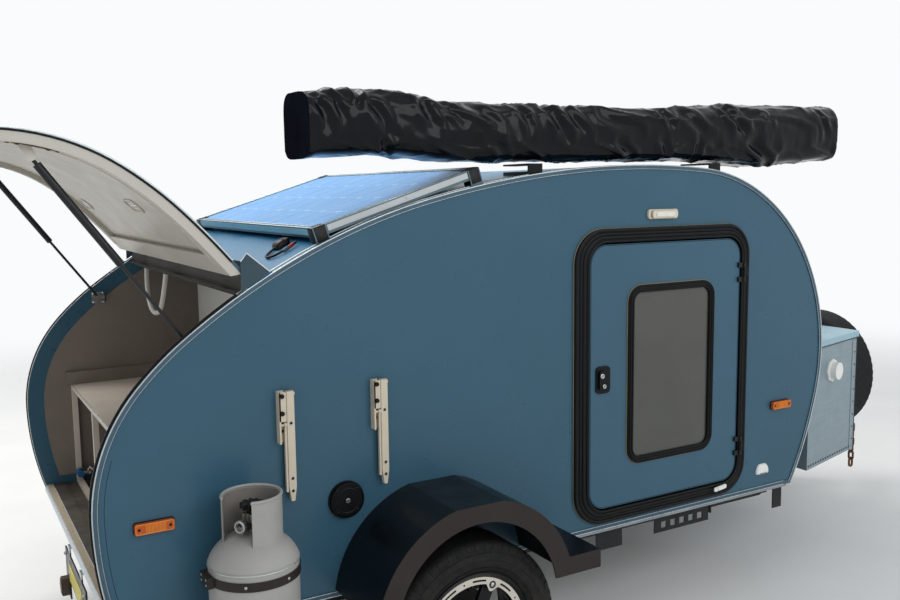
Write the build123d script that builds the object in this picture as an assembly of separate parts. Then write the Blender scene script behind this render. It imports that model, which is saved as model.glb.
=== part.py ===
from build123d import *
import math
import os

# Teardrop trailer. Millimetres, +X forward to the hitch, +Y left, +Z up.
# The origin is the centre of the towing ball in the coupling's socket.
# The body is drawn from its own rearmost point and bottom edge, and
# bx() and bz() carry those distances into the part's frame.

# Where the body stands behind and above the ball
BODY_REAR_TO_BALL = 4100.0
BODY_BOTTOM_ABOVE_BALL = 10.0
GROUND_BELOW_BODY = 425.0

# Body
BODY_WIDTH = 1560.0
WALL_T = 28.0
HALF = BODY_WIDTH / 2
INNER = HALF - WALL_T
ROOF_T = 25.0
FLOOR_T = 25.0
# Joints of the side outline's tangent arcs, from the rearmost point over
# the roof to the front bottom corner. Columns: x, z
PROFILE = [
    (0.0, 360.0),
    (128.0, 699.0),
    (260.0, 822.0),
    (1016.0, 1183.0),
    (2164.0, 1277.0),
    (2577.0, 1115.0),
    (2833.0, 370.0),
    (2690.0, 0.0),
]
PROFILE_REAR_BOTTOM_X = 57.0
TRIM_W = 14.0
TRIM_PROUD = 4.0
TRIM_SEAT = 0.3

# Rear hatch over the rear edges of the walls
HATCH_GAP = 7.5
HATCH_T = 34.0
HATCH_SKIN_T = 8.0
HATCH_RIM_W = 62.0
HATCH_RECESS = 17.0
HATCH_SKIN_SEAT = 0.3
HATCH_BOTTOM_Z = 28.0
HATCH_OPEN_DEG = 82.0
HINGE_X = 432.0
HINGE_BARREL_R = 6.0
HINGE_PIN_R = 3.0
HINGE_RUN = 0.09
HINGE_INSET = 220.0
HINGE_Y = [HINGE_INSET - HALF, 0.0, HALF - HINGE_INSET]
HINGE_FIXED_L = 60.0
HINGE_MOVING_L = 30.0
HINGE_LEAF_T = 4.0
HINGE_REAR_GAP = 2.0
HINGE_LEAF_L = 32.0
KNUCKLE_GAP = 0.5
MOVING_GAP = 6.0
FAIRING_TOP_Z = 1018.0
FAIRING_FRONT_X = 510.0

# Gas struts of the hatch. The wall's pin, and the hatch's pin with the hatch shut: x, z
STRUT_WALL_PIN = (290.0, 787.0)
CLOSED_STRUT_PIN = (48.0, 522.0)
STRUT_WALL_GAP = 30.0
STRUT_Y = INNER - STRUT_WALL_GAP
STRUT_TUBE_R = 11.0
STRUT_ROD_R = 5.0
STRUT_EYE_GAP = 5.0
STRUT_ENGAGED = 12.0
STRUT_EYE_R = 10.0
STRUT_EYE_W = 12.0
STRUT_PIN_R = 4.0
STRUT_ROD_RUN = 0.4
STRUT_LUG_T = 6.0
STRUT_PLATE_T = 4.0

# Doors
DOOR_X0 = 1637.0
DOOR_X1 = 2361.0
DOOR_Z0 = 77.0
DOOR_Z1 = 1016.0
DOOR_R = 70.0
DOOR_T = 30.0
DOOR_PROUD = 6.0
JAMB_T = 6.0
FRAME_RING_REAR = 62.0
FRAME_RING_FRONT = 37.0
FRAME_RING_Z = 48.0
FRAME_PROUD = 10.0
WINDOW_X0 = 1805.0
WINDOW_X1 = 2223.0
WINDOW_Z0 = 220.0
WINDOW_Z1 = 867.0
WINDOW_R = 60.0
WINDOW_RING_W = 26.0
WINDOW_RING_PROUD = 7.0
GLASS_T = 6.0
LOCK_X = 1692.0
LOCK_Z = 545.0
LOCK_W = 62.0
LOCK_H = 96.0
DOOR_BARREL_R = 6.0
DOOR_PIN_R = 3.5
DOOR_KNUCKLE_L = 36.0
DOOR_HINGE_INSET = 130.0
DOOR_STRAP_REACH = 14.0

# Galley
LINING_INSET = 60.0
LINING_T = 4.0
BULKHEAD_X = 702.0
BULKHEAD_T = 16.0
COUNTER_X0 = 165.0
COUNTER_Z = 438.0
COUNTER_T = 18.0
UPSTAND_H = 52.0
UPSTAND_T = 20.0
POST_W = 20.0
BENCH_BACK_X = 300.0
BOARD_T = 14.0

# Chassis and drawbar
RAIL_INSET = 140.0
RAIL_Y = HALF - RAIL_INSET
RAIL_W = 50.0
RAIL_H = 75.0
RAIL_X0 = 84.0
RAIL_X1 = 2690.0
CROSS_X = [109.0, 620.0, 1480.0, 2100.0, 2665.0]
CROSS_W = 50.0
CROSS_H = 50.0
DRAWBAR_REAR_X = 2100.0
DRAWBAR_REAR_INSET = 50.0
DRAWBAR_REAR_Y = RAIL_Y - DRAWBAR_REAR_INSET
DRAWBAR_FRONT_X = 3985.0
DRAWBAR_FRONT_Y = 48.0
# Ledges under the walls, and plates hung from them
LEDGE_X0 = 1470.0
LEDGE_X1 = 2670.0
LEDGE_H = 12.0
LEDGE_W = 40.0
OUTRIGGER_INSET = 36.0
OUTRIGGER_T = 4.0
OUTRIGGER_HOLE = 26.0
# Columns: rear x, front x, lower z, square holes
OUTRIGGERS = [
    (1705.0, 1826.0, -98.0, 0),
    (1985.0, 2266.0, -88.0, 5),
    (2634.0, 2686.0, -112.0, 0),
]

# Coupling with its socket for a 50 mm ball
BALL_SOCKET_R = 25.5
SOCKET_BELOW = 22.0
SOCKET_ABOVE = 4.0
COUPLING_HEAD_R = 36.0
COUPLING_DOME_Z = 18.0
HANDLE_REAR = -150.0
HANDLE_W = 22.0
COUPLING_W = 60.0
COUPLING_REAR = 210.0

# Running gear
WHEEL_X = 1034.0
WHEEL_Z = -132.0
WHEEL_OUT = 137.0
WHEEL_Y = HALF + WHEEL_OUT
TYRE_R = 293.0
TYRE_W = 190.0
RIM_R = 190.0
RIM_LIP_R = 198.0
RIM_W = 168.0
RIM_T = 6.0
RIM_SEAT = 0.3
HUB_R = 62.0
# The rim's machined ring with five pointed bosses, slots and small holes
RIM_FACE_DROP = 11.0
RIM_FACE_OUT_R = 183.0
RIM_FACE_IN_R = 159.0
RIM_DISC_DROP = 34.0
RIM_DISC_T = 14.0
RIM_WINDOW_IN_R = 74.0
RIM_WINDOW_OUT_R = 152.0
SPOKE_W = 44.0
BOSSES = 5
BOSS_FIRST_DEG = 66.0
BOSS_HALF_DEG = 9.0
BOSS_TIP_R = 140.0
BOSS_TIP_W = 9.0
BOSS_T = 8.0
SLOT_OFF_DEG = 17.7
SLOT_SPAN_DEG = 14.6
SLOT_R = 170.0
SLOT_W = 6.0
SLOT_DEPTH = 4.0
FACE_HOLE_R = 3.0
AXLE_SIZE = 45.0
SPINDLE_R = 20.0
SPINDLE_RUN = 0.05
BRAKE_R = 115.0
BRAKE_T = 46.0
SPRING_SPAN = 700.0
SPRING_CAMBER = 52.0
SPRING_T = 22.0
SPRING_W = 50.0
SPRING_EYE_R = 16.0
SPRING_PIN_R = 6.0
SPRING_SEAT = 0.3

# Fenders, round about their own centre with one flat on top
FENDER_DEPTH = 290.0
FENDER_X = 1009.0
FENDER_Z = -26.0
FENDER_R = 340.0
FENDER_LIP_R = 276.0
FENDER_T = 5.0
FENDER_LOW_Z = 21.0
FENDER_FLAT_Z = 304.0
FENDER_FOOT_X1 = 1455.0
FENDER_FOOT_Z = 79.0

# Front storage box, tapered in plan
BOX_X0 = 2872.0
BOX_X1 = 3334.0
BOX_INSET = 61.0
BOX_TAPER = 117.0
BOX_HALF_REAR = HALF - BOX_INSET
BOX_HALF_FRONT = BOX_HALF_REAR - BOX_TAPER
BOX_H = 546.0
BOX_T = 4.0
CORNER_W = 40.0
CORNER_PROUD = 2.0
CORNER_TOP_GAP = 10.0
LID_T = 4.0
LID_SKIRT = 26.0
LID_GAP = 5.0
LID_SEAT = 1.0
LID_BARREL_R = 5.0
LID_PIN_R = 2.5
LID_HINGE_INSET = 230.0
LID_HINGE_Y = [LID_HINGE_INSET - BOX_HALF_REAR, 0.0, BOX_HALF_REAR - LID_HINGE_INSET]
LID_KNUCKLE_L = 40.0

# Spare wheel on the front of the box
SPARE_Y = -275.0
SPARE_Z = 306.0
SPARE_GAP = 16.0
CARRIER_R = 55.0

# Power inlet on the right side of the box
INLET_X = 3085.0
INLET_Z = 405.0
INLET_R = 38.0
INLET_L = 34.0

# Awning in its bag on roof brackets
BAG_OUT = 5.0
BAG_Y0 = -HALF - BAG_OUT
BAG_DEPTH = 223.0
BAG_R = 45.0
# The bag's cross sections. Columns: x, lower z, upper z
BAG_SECTIONS = [
    (636.0, 1297.0, 1507.0),
    (800.0, 1305.0, 1522.0),
    (1110.0, 1292.0, 1498.0),
    (2240.0, 1298.0, 1516.0),
    (2915.0, 1300.0, 1539.0),
]
BAG_SEAT = 0.5
BRACKET_X = [1430.0, 2250.0]
BRACKET_W = 56.0
BRACKET_T = 6.0
BRACKET_DEPTH = 150.0

# Solar panel on the sloping roof
SOLAR_X = 643.0
SOLAR_Z = 1104.0
SOLAR_L = 588.0
SOLAR_SLOPE = 17.4
SOLAR_T = 30.0
SOLAR_INSET = 22.0
SOLAR_W = 1244.0
SOLAR_Y0 = SOLAR_INSET - HALF
SOLAR_Y1 = SOLAR_Y0 + SOLAR_W
SOLAR_FRAME = 32.0
SOLAR_RECESS = 3.0
SOLAR_CAP = 44.0
SOLAR_CAP_T = 3.0

# Gas bottle on the right wall
BOTTLE_X = 381.0
BOTTLE_R = 121.0
BOTTLE_GAP = 20.0
BOTTLE_Z0 = 6.0
BOTTLE_SHOULDER_Z = 239.0
BOTTLE_DOME_H = 66.0
BOTTLE_FOOT_H = 26.0
COLLAR_R = 80.5
COLLAR_T = 4.0
COLLAR_Z0 = 276.0
COLLAR_Z1 = 411.0
COLLAR_ROLL_R = 4.5
COLLAR_GAP_HALF = 49.5
COLLAR_GAP_DEG = 34.0
SEAM_Z = 232.0
SEAM_H = 8.0
SEAM_PROUD = 1.2
HAND_WHEEL_R = 20.0
HAND_WHEEL_LOBES = 5
STRAP_Z = 203.0
STRAP_W = 24.0
STRAP_T = 3.0
TRAY_T = 6.0

# Small fittings
CAP_X = 714.0
CAP_Z = 294.0
CAP_R = 57.0
CAP_PROUD = 16.0
SIDE_LAMP_L = 104.0
SIDE_LAMP_H = 30.0
SIDE_LAMP_T = 16.0
SIDE_LAMPS = [(154.0, 324.0), (2612.0, 338.0)]
COURTESY_X = 1965.0
COURTESY_Z = 1116.0
COURTESY_L = 118.0
COURTESY_H = 26.0
COURTESY_T = 20.0
ARM_X = [541.0, 837.0]
ARM_TOP_Z = 649.0
ARM_L = 321.0
ARM_W = 22.0
ARM_D = 16.0
ARM_PLATE_H = 150.0
ARM_PIVOT_DROP = 9.0
BRACE_DROP = 88.0
BRACE_L = 196.0
BRACE_T = 6.0
ARM_PIN_R = 4.0
ARM_STANDOFF = 10.0

# Jockey wheel on the drawbar
JOCKEY_X = 3720.0
JOCKEY_Y = 222.0
JOCKEY_TUBE_R = 24.0
JOCKEY_TOP_Z = 330.0
JOCKEY_TUBE_BOTTOM_Z = -165.0
JOCKEY_SWIVEL_R = 20.0
JOCKEY_WHEEL_R = 100.0
JOCKEY_WHEEL_W = 60.0
JOCKEY_TRAIL = 45.0
JOCKEY_FORK_T = 6.0
CRANK_REACH = 110.0
CRANK_R = 9.0
CRANK_GRIP_R = 13.0
CRANK_GRIP_L = 88.0

# Corner legs. Columns: name, pivot x, side (-1 right, 1 left), folded towards (-1 rear, 1 front)
LEG_L = 300.0
LEG_SIZE = 30.0
LEG_Z = -46.0
LEG_PIN_R = 6.0
LEGS = [
    ("front_right", 2600.0, -1, -1),
    ("front_left", 2600.0, 1, -1),
    ("rear_right", 200.0, -1, 1),
    ("rear_left", 200.0, 1, 1),
]

# Rear sill with its round edge, the lamp carrier under it and the lamps
SILL_T = 4.0
SILL_BACK = 6.0
SILL_REACH = 60.0
SILL_EDGE_R = 9.0
SILL_EDGE_Z = 12.0
CARRIER_X = 50.0
CARRIER_T = 5.0
CARRIER_HALF = 230.0
CARRIER_TOP_Z = -52.0
CARRIER_LOW_Z = -160.0
CARRIER_TAB_W = 78.0
CARRIER_TAB_Z = -226.0
HANGER_Y = 130.0
HANGER_W = 40.0
LAMP_R = 36.0
LAMP_T = 24.0
LAMP_Z = -186.0
LAMP_Y = CARRIER_HALF - CARRIER_TAB_W / 2

def bx(x):
    return x - BODY_REAR_TO_BALL


def bz(z):
    return z + BODY_BOTTOM_ABOVE_BALL


GROUND_Z = bz(-GROUND_BELOW_BODY)


# Building blocks

def block(x0, x1, y0, y1, z0, z1):
    """A box between body distances."""
    size = Box(x1 - x0, y1 - y0, z1 - z0)
    return Pos(bx((x0 + x1) / 2), (y0 + y1) / 2, bz((z0 + z1) / 2)) * size


def rod_y(x, z, r, y0, y1):
    """A round bar along Y."""
    return Pos(bx(x), (y0 + y1) / 2, bz(z)) * Rot(90, 0, 0) * Cylinder(r, abs(y1 - y0))


def rod_x(x0, x1, y, z, r):
    """A round bar along X."""
    return Pos(bx((x0 + x1) / 2), y, bz(z)) * Rot(0, 90, 0) * Cylinder(r, abs(x1 - x0))


def rod_z(x, y, r, z0, z1):
    """A round bar along Z."""
    return Pos(bx(x), y, bz((z0 + z1) / 2)) * Cylinder(r, z1 - z0)


def side_slab(sketch, y0, y1):
    """A side-view sketch in body distances, pushed out between two Y planes."""
    plane = Plane(origin=(bx(0), y1, bz(0)), x_dir=(1, 0, 0), z_dir=(0, -1, 0))
    return extrude(plane * sketch, amount=y1 - y0)


def sided(side, y0, y1):
    """The two Y limits of a piece at distances y0 < y1 from the centre plane."""
    if side < 0:
        return (-y1, -y0)
    return (y0, y1)


def side_rect(x0, x1, z0, z1, r):
    """A rounded rectangle in the side view."""
    return Pos((x0 + x1) / 2, (z0 + z1) / 2) * RectangleRounded(x1 - x0, z1 - z0, r)


def turn_y(shape, x, z, degrees):
    """Turn about the Y line through x, z; positive lowers the rear."""
    axis = Axis((bx(x), 0, bz(z)), (0, -1, 0))
    return shape.rotate(axis, degrees)


def join(pieces):
    """Fuse a list of overlapping or touching solids."""
    whole = pieces[0]
    for piece in pieces[1:]:
        whole = whole + piece
    return whole


def save(name, *shapes):
    """Write one node, as one or more solids."""
    solids = []
    for shape in shapes:
        solids += shape.solids()
    result = solids[0] if len(solids) == 1 else Compound(children=solids)
    export_step(result, "parts/" + name + ".step")


# Side outline

def profile_face():
    """The teardrop outline as one face of tangent arcs."""
    lower = TangentArc(PROFILE[0], (PROFILE_REAR_BOTTOM_X, 0), tangent=(0, -1))
    edges = [lower]
    direction = (0, 1)
    for start, end in zip(PROFILE[:-1], PROFILE[1:]):
        arc = TangentArc(start, end, tangent=direction)
        edges.append(arc)
        heading = arc % 1
        direction = (heading.X, heading.Y)
    edges.append(Line(PROFILE[-1], (PROFILE_REAR_BOTTOM_X, 0)))
    return make_face(edges)


def grown(amount):
    """The outline grown outwards, or shrunk if the amount is negative."""
    return offset(OUTLINE, amount)


OUTLINE = profile_face()


def arc_height(x, amount):
    """The same height for the outline grown by an amount."""
    shape = grown(amount)
    box = shape.bounding_box()
    inside = shape & Line((x, box.center().Y * 0.8), (x, box.max.Y * 1.2))
    return inside.edges()[0].bounding_box().max.Y


HINGE_Z = arc_height(HINGE_X, HATCH_GAP + HATCH_T)


def window_of(x0, x1, z0, z1):
    """A plain rectangle in the side view."""
    return Pos((x0 + x1) / 2, (z0 + z1) / 2) * Rectangle(x1 - x0, z1 - z0)


# Body shell

def door_opening(side):
    """The hole in the wall for the door frame's jamb."""
    edge = MOVING_GAP + JAMB_T
    sketch = side_rect(DOOR_X0 - edge, DOOR_X1 + edge, DOOR_Z0 - edge, DOOR_Z1 + edge, DOOR_R + edge)
    y0, y1 = sided(side, INNER - 50, HALF + 50)
    return side_slab(sketch, y0, y1)


def make_wall(side):
    """A side wall with its door opening and the strut's stud."""
    y0, y1 = sided(side, INNER, HALF)
    wall = side_slab(OUTLINE, y0, y1) - door_opening(side)
    x, z = STRUT_WALL_PIN
    stud_end = STRUT_Y + STRUT_EYE_W / 2 + KNUCKLE_GAP
    y0, y1 = sided(side, stud_end, INNER)
    return [wall, rod_y(x, z, STRUT_PIN_R, y0, y1)]


def make_edge_trims():
    """A raised strip round the outline of each wall."""
    ring = grown(TRIM_PROUD / 2) - grown(-TRIM_W)
    strips = []
    for side in (-1, 1):
        y0, y1 = sided(side, HALF, HALF + TRIM_PROUD)
        strips.append(side_slab(ring, y0, y1))
    return strips


def make_roof_shell():
    """The roof and front as one curved sheet, with the raised piece that carries the hatch hinge."""
    x0 = HINGE_X + HINGE_BARREL_R + HINGE_REAR_GAP
    ring = OUTLINE - grown(-ROOF_T)
    keep = window_of(x0, PROFILE[-2][0] + 200, FLOOR_T, PROFILE[4][1] + 100)
    sheet = side_slab(ring & keep, -INNER, INNER)
    front_z = arc_height(FAIRING_FRONT_X, 0)
    wedge = make_face(Polyline(
        (x0, HINGE_Z - 120),
        (x0, FAIRING_TOP_Z),
        (FAIRING_FRONT_X, front_z + 4),
        (FAIRING_FRONT_X, front_z - 30),
        close=True,
    ))
    fairing = side_slab(wedge - OUTLINE, -INNER, INNER) + side_slab(wedge - grown(TRIM_SEAT), -HALF, HALF)
    knuckles = []
    for y in HINGE_Y:
        half = HINGE_FIXED_L / 2
        barrel = rod_y(HINGE_X, HINGE_Z, HINGE_BARREL_R, y - half, y + half)
        leaf = block(HINGE_X, x0 + 1, y - half, y + half, HINGE_Z - HINGE_BARREL_R, HINGE_Z)
        bore = rod_y(HINGE_X, HINGE_Z, HINGE_PIN_R + HINGE_RUN, y - half - 1, y + half + 1)
        knuckles.append(barrel + leaf - bore)
    return join([sheet, fairing] + knuckles)


def make_floor():
    """The floor panel between the walls."""
    return block(PROFILE_REAR_BOTTOM_X + 4, PROFILE[-1][0] - 4, -INNER, INNER, 0, FLOOR_T)


def make_bulkhead():
    """The panel between galley and cabin."""
    sheet = side_slab(grown(-ROOF_T - 0.3), -INNER, INNER)
    top = PROFILE[4][1]
    return sheet & block(BULKHEAD_X, BULKHEAD_X + BULKHEAD_T, -HALF, HALF, FLOOR_T, top)


# Galley

def make_linings():
    """Dark wall linings, the bench's upstands and its inner boards."""
    pieces = []
    shape = grown(-LINING_INSET) & window_of(0, BULKHEAD_X, FLOOR_T, PROFILE[4][1])
    hole_x, hole_z = STRUT_WALL_PIN
    hole = Pos(hole_x, hole_z) * Circle(STRUT_PIN_R + 3)
    for side in (-1, 1):
        y0, y1 = sided(side, INNER - LINING_T, INNER)
        lining = side_slab(shape - hole, y0, y1)
        y0, y1 = sided(side, INNER - LINING_T - UPSTAND_T, INNER - LINING_T)
        upstand = block(COUNTER_X0 - 18, BULKHEAD_X, y0, y1, COUNTER_Z, COUNTER_Z + UPSTAND_H)
        pieces.append(lining + upstand)
    inner = INNER - LINING_T
    back = block(BENCH_BACK_X, BENCH_BACK_X + BOARD_T, -inner, inner, FLOOR_T, COUNTER_Z - COUNTER_T)
    pieces.append(back)
    return pieces


def make_bench():
    """The white counter with its posts and bottom rail."""
    inner = INNER - LINING_T
    counter = block(COUNTER_X0, BULKHEAD_X, -inner, inner, COUNTER_Z - COUNTER_T, COUNTER_Z)
    parts = [counter]
    outer_post = inner - POST_W / 2
    for y in (-outer_post, -outer_post / 3, outer_post / 3, outer_post):
        post = block(COUNTER_X0, COUNTER_X0 + POST_W, y - POST_W / 2, y + POST_W / 2,
                     FLOOR_T, COUNTER_Z - COUNTER_T)
        parts.append(post)
    rail = block(COUNTER_X0, COUNTER_X0 + POST_W, -inner, inner, FLOOR_T, FLOOR_T + POST_W)
    parts.append(rail)
    return join(parts)


# Rear hatch

def opened(shape):
    """Carry a piece of the closed hatch to where it stands open."""
    return turn_y(shape, HINGE_X, HINGE_Z, -HATCH_OPEN_DEG)


def hatch_band(inner, outer):
    """A band of the closed hatch between two distances from the outline."""
    band = grown(outer) - grown(inner)
    keep = window_of(-200, HINGE_X, HATCH_BOTTOM_Z, PROFILE[3][1])
    return band & keep


def make_hatch_skin():
    """The outer shell of the hatch with its hinge leaves and pins."""
    outer = HATCH_GAP + HATCH_T
    skin = side_slab(hatch_band(outer - HATCH_SKIN_T, outer), -HALF, HALF)
    room = rod_y(HINGE_X, HINGE_Z, HINGE_BARREL_R + MOVING_GAP, -HALF - 1, HALF + 1)
    skin = skin - room
    centre = Vector(PROFILE_CENTRE[0], PROFILE_CENTRE[1])
    tilt = math.degrees(math.atan2(HINGE_Z - centre.Y, HINGE_X - centre.X)) + 90
    for y in HINGE_Y:
        start = HINGE_FIXED_L / 2 + KNUCKLE_GAP
        end = start + HINGE_MOVING_L
        leaf_mid = Pos(HINGE_LEAF_L / 2, 0) * Rectangle(HINGE_LEAF_L, HINGE_LEAF_T)
        for sign in (-1, 1):
            y0, y1 = sorted((y + sign * start, y + sign * end))
            barrel = rod_y(HINGE_X, HINGE_Z, HINGE_BARREL_R, y0, y1)
            leaf = side_slab(Pos(HINGE_X, HINGE_Z) * Rot(0, 0, tilt) * leaf_mid, y0, y1)
            skin = skin + barrel + leaf
        skin = skin + rod_y(HINGE_X, HINGE_Z, HINGE_PIN_R, y - end, y + end)
    return skin


def make_hatch_liner():
    """The moulded inner tray of the hatch with the lugs for the struts."""
    outer = HATCH_GAP + HATCH_T - HATCH_SKIN_T - HATCH_SKIN_SEAT
    tray = side_slab(hatch_band(HATCH_GAP, outer), -HALF + 2, HALF - 2)
    tray = tray - rod_y(HINGE_X, HINGE_Z, HINGE_BARREL_R + MOVING_GAP, -HALF, HALF)
    inner_y = HALF - HATCH_RIM_W
    keep = window_of(-200, HINGE_X - HATCH_RIM_W, HATCH_BOTTOM_Z + HATCH_RIM_W, PROFILE[3][1])
    recess = (grown(HATCH_GAP + HATCH_RECESS) - grown(-10)) & keep
    tray = tray - side_slab(recess, -inner_y, inner_y)
    x, z = CLOSED_STRUT_PIN
    for side in (-1, 1):
        lug_y = STRUT_Y + STRUT_TUBE_R + 3
        y0, y1 = sided(side, lug_y, lug_y + STRUT_LUG_T)
        plate = Pos(x, z) * Rot(0, 0, 20) * Pos(-17, 0) * RectangleRounded(54, 26, 8)
        lug = side_slab(plate, y0, y1)
        p0, p1 = sided(side, STRUT_Y - STRUT_EYE_W / 2 - 2, lug_y + 1)
        tray = tray + lug + rod_y(x, z, STRUT_PIN_R, p0, p1)
    return tray


# Centre of the arc that holds the hatch hinge, found from the outline
def third_arc_centre():
    arc = None
    direction = (0, 1)
    for start, end in zip(PROFILE[:3], PROFILE[1:4]):
        arc = TangentArc(start, end, tangent=direction)
        heading = arc % 1
        direction = (heading.X, heading.Y)
    centre = arc.edge().arc_center
    return (centre.X, centre.Y)


PROFILE_CENTRE = third_arc_centre()


def open_pin():
    """Where the strut's pin on the hatch is when the hatch stands open."""
    dx = CLOSED_STRUT_PIN[0] - HINGE_X
    dz = CLOSED_STRUT_PIN[1] - HINGE_Z
    a = math.radians(HATCH_OPEN_DEG)
    x = HINGE_X + dx * math.cos(a) + dz * math.sin(a)
    z = HINGE_Z - dx * math.sin(a) + dz * math.cos(a)
    return (x, z)


STRUT_HATCH_PIN = open_pin()


def along_strut(side, start, end, r):
    """A round bar on the line from the hatch pin towards the wall pin."""
    ux, uz = STRUT_HATCH_PIN
    wx, wz = STRUT_WALL_PIN
    length = math.hypot(wx - ux, wz - uz)
    dx = (wx - ux) / length
    dz = (wz - uz) / length
    plane = Plane(
        origin=(bx(ux + dx * start), side * STRUT_Y, bz(uz + dz * start)),
        z_dir=(dx, 0, dz),
    )
    return extrude(plane * Circle(r), amount=end - start)


STRUT_LENGTH = math.hypot(STRUT_WALL_PIN[0] - STRUT_HATCH_PIN[0], STRUT_WALL_PIN[1] - STRUT_HATCH_PIN[1])
STRUT_CLOSED = math.hypot(STRUT_WALL_PIN[0] - CLOSED_STRUT_PIN[0], STRUT_WALL_PIN[1] - CLOSED_STRUT_PIN[1])
STRUT_TUBE_L = STRUT_CLOSED - STRUT_EYE_R - STRUT_EYE_GAP


def make_strut_tube(side):
    """The pressure tube, closed at the hatch end by its eye."""
    x, z = STRUT_HATCH_PIN
    y0, y1 = sided(side, STRUT_Y - STRUT_EYE_W / 2, STRUT_Y + STRUT_EYE_W / 2)
    eye = rod_y(x, z, STRUT_EYE_R, y0, y1)
    neck = along_strut(side, STRUT_EYE_R - 3, 24, STRUT_ROD_R)
    tube = along_strut(side, 22, STRUT_TUBE_L, STRUT_TUBE_R)
    bore = along_strut(side, 26, STRUT_TUBE_L + 1, STRUT_ROD_R + STRUT_ROD_RUN)
    pin = rod_y(x, z, STRUT_PIN_R + HINGE_RUN, y0 - 1, y1 + 1)
    return eye + neck + tube - bore - pin


def make_strut_rod(side):
    """The rod with its socket at the wall."""
    x, z = STRUT_WALL_PIN
    y0, y1 = sided(side, STRUT_Y - STRUT_EYE_W / 2, STRUT_Y + STRUT_EYE_W / 2)
    eye = rod_y(x, z, STRUT_EYE_R, y0, y1)
    rod = along_strut(side, STRUT_TUBE_L - STRUT_ENGAGED, STRUT_LENGTH - STRUT_EYE_R + 3, STRUT_ROD_R)
    return eye + rod


# Doors

def door_axis():
    """Distance of the door's hinge line ahead of the leaf and out from the wall."""
    x = DOOR_X1 + MOVING_GAP + 8
    y = HALF + FRAME_PROUD + DOOR_BARREL_R
    return (x, y)


def hinge_heights():
    return [DOOR_Z0 + DOOR_HINGE_INSET, DOOR_Z1 - DOOR_HINGE_INSET]


def make_door_frame(side):
    """The fixed black frame: a flange outside, a jamb through the wall and hinge knuckles."""
    gap = MOVING_GAP
    hole = side_rect(DOOR_X0 - gap, DOOR_X1 + gap, DOOR_Z0 - gap, DOOR_Z1 + gap, DOOR_R + gap)
    ring = side_rect(
        DOOR_X0 - gap - FRAME_RING_REAR, DOOR_X1 + gap + FRAME_RING_FRONT,
        DOOR_Z0 - gap - FRAME_RING_Z + 4, DOOR_Z1 + gap + FRAME_RING_Z, DOOR_R + FRAME_RING_Z,
    )
    edge = gap + JAMB_T
    jamb = side_rect(DOOR_X0 - edge, DOOR_X1 + edge, DOOR_Z0 - edge, DOOR_Z1 + edge, DOOR_R + edge)
    y0, y1 = sided(side, HALF, HALF + FRAME_PROUD)
    frame = side_slab(ring - hole, y0, y1)
    y0, y1 = sided(side, INNER, HALF)
    frame = frame + side_slab(jamb - hole, y0, y1)
    x, y = door_axis()
    for z in hinge_heights():
        half = DOOR_KNUCKLE_L / 2
        barrel = rod_z(x, side * y, DOOR_BARREL_R, z - half, z + half)
        y0, y1 = sided(side, HALF + FRAME_PROUD - 1, y)
        leaf = block(x, x + 20, y0, y1, z - half, z + half)
        bore = rod_z(x, side * y, DOOR_PIN_R + HINGE_RUN, z - half - 1, z + half + 1)
        frame = frame + (barrel + leaf - bore)
    return frame


def make_door_leaf(side):
    """The door panel with its window hole, hinge leaves and pins."""
    panel = side_rect(DOOR_X0, DOOR_X1, DOOR_Z0, DOOR_Z1, DOOR_R)
    hole = side_rect(WINDOW_X0 + 20, WINDOW_X1 - 20, WINDOW_Z0 + 20, WINDOW_Z1 - 20, WINDOW_R - 20)
    y_out = HALF + DOOR_PROUD
    y0, y1 = sided(side, y_out - DOOR_T, y_out)
    leaf = side_slab(panel - hole, y0, y1)
    x, y = door_axis()
    half = DOOR_KNUCKLE_L / 2
    for z in hinge_heights():
        y0, y1 = sided(side, y - DOOR_BARREL_R + 1, y - DOOR_BARREL_R + 5)
        for z0 in (z - half - KNUCKLE_GAP - DOOR_KNUCKLE_L / 2, z + half + KNUCKLE_GAP):
            z1 = z0 + DOOR_KNUCKLE_L / 2
            strip = block(DOOR_X1 - DOOR_STRAP_REACH, x, y0, y1, z0, z1)
            w0, w1 = sided(side, y_out - 1, y - DOOR_BARREL_R + 2)
            foot = block(DOOR_X1 - DOOR_STRAP_REACH, DOOR_X1 - 2, w0, w1, z0, z1)
            leaf = leaf + strip + foot + rod_z(x, side * y, DOOR_BARREL_R, z0, z1)
        leaf = leaf + rod_z(x, side * y, DOOR_PIN_R, z - half - 10, z + half + 10)
    return leaf


def make_door_fittings(side):
    """The window's rubber ring and the lock."""
    y_out = HALF + DOOR_PROUD
    outer = side_rect(WINDOW_X0, WINDOW_X1, WINDOW_Z0, WINDOW_Z1, WINDOW_R)
    w = WINDOW_RING_W
    inner = side_rect(WINDOW_X0 + w, WINDOW_X1 - w, WINDOW_Z0 + w, WINDOW_Z1 - w, WINDOW_R - w)
    y0, y1 = sided(side, y_out, y_out + WINDOW_RING_PROUD)
    ring = side_slab(outer - inner, y0, y1)
    lock_shape = side_rect(LOCK_X - LOCK_W / 2, LOCK_X + LOCK_W / 2, LOCK_Z - LOCK_H / 2,
                           LOCK_Z + LOCK_H / 2, 16)
    y0, y1 = sided(side, y_out, y_out + 6)
    lock = side_slab(lock_shape, y0, y1)
    y0, y1 = sided(side, y_out + 6, y_out + 14)
    grip = side_slab(side_rect(LOCK_X - 22, LOCK_X + 8, LOCK_Z - 34, LOCK_Z + 34, 10), y0, y1)
    return [ring, lock + grip]


def make_pane(side):
    """The tinted window pane in the door."""
    y_out = HALF + DOOR_PROUD
    shape = side_rect(WINDOW_X0 + 20, WINDOW_X1 - 20, WINDOW_Z0 + 20, WINDOW_Z1 - 20, WINDOW_R - 20)
    y0, y1 = sided(side, y_out - GLASS_T, y_out)
    return side_slab(shape, y0, y1)


# Chassis

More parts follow.
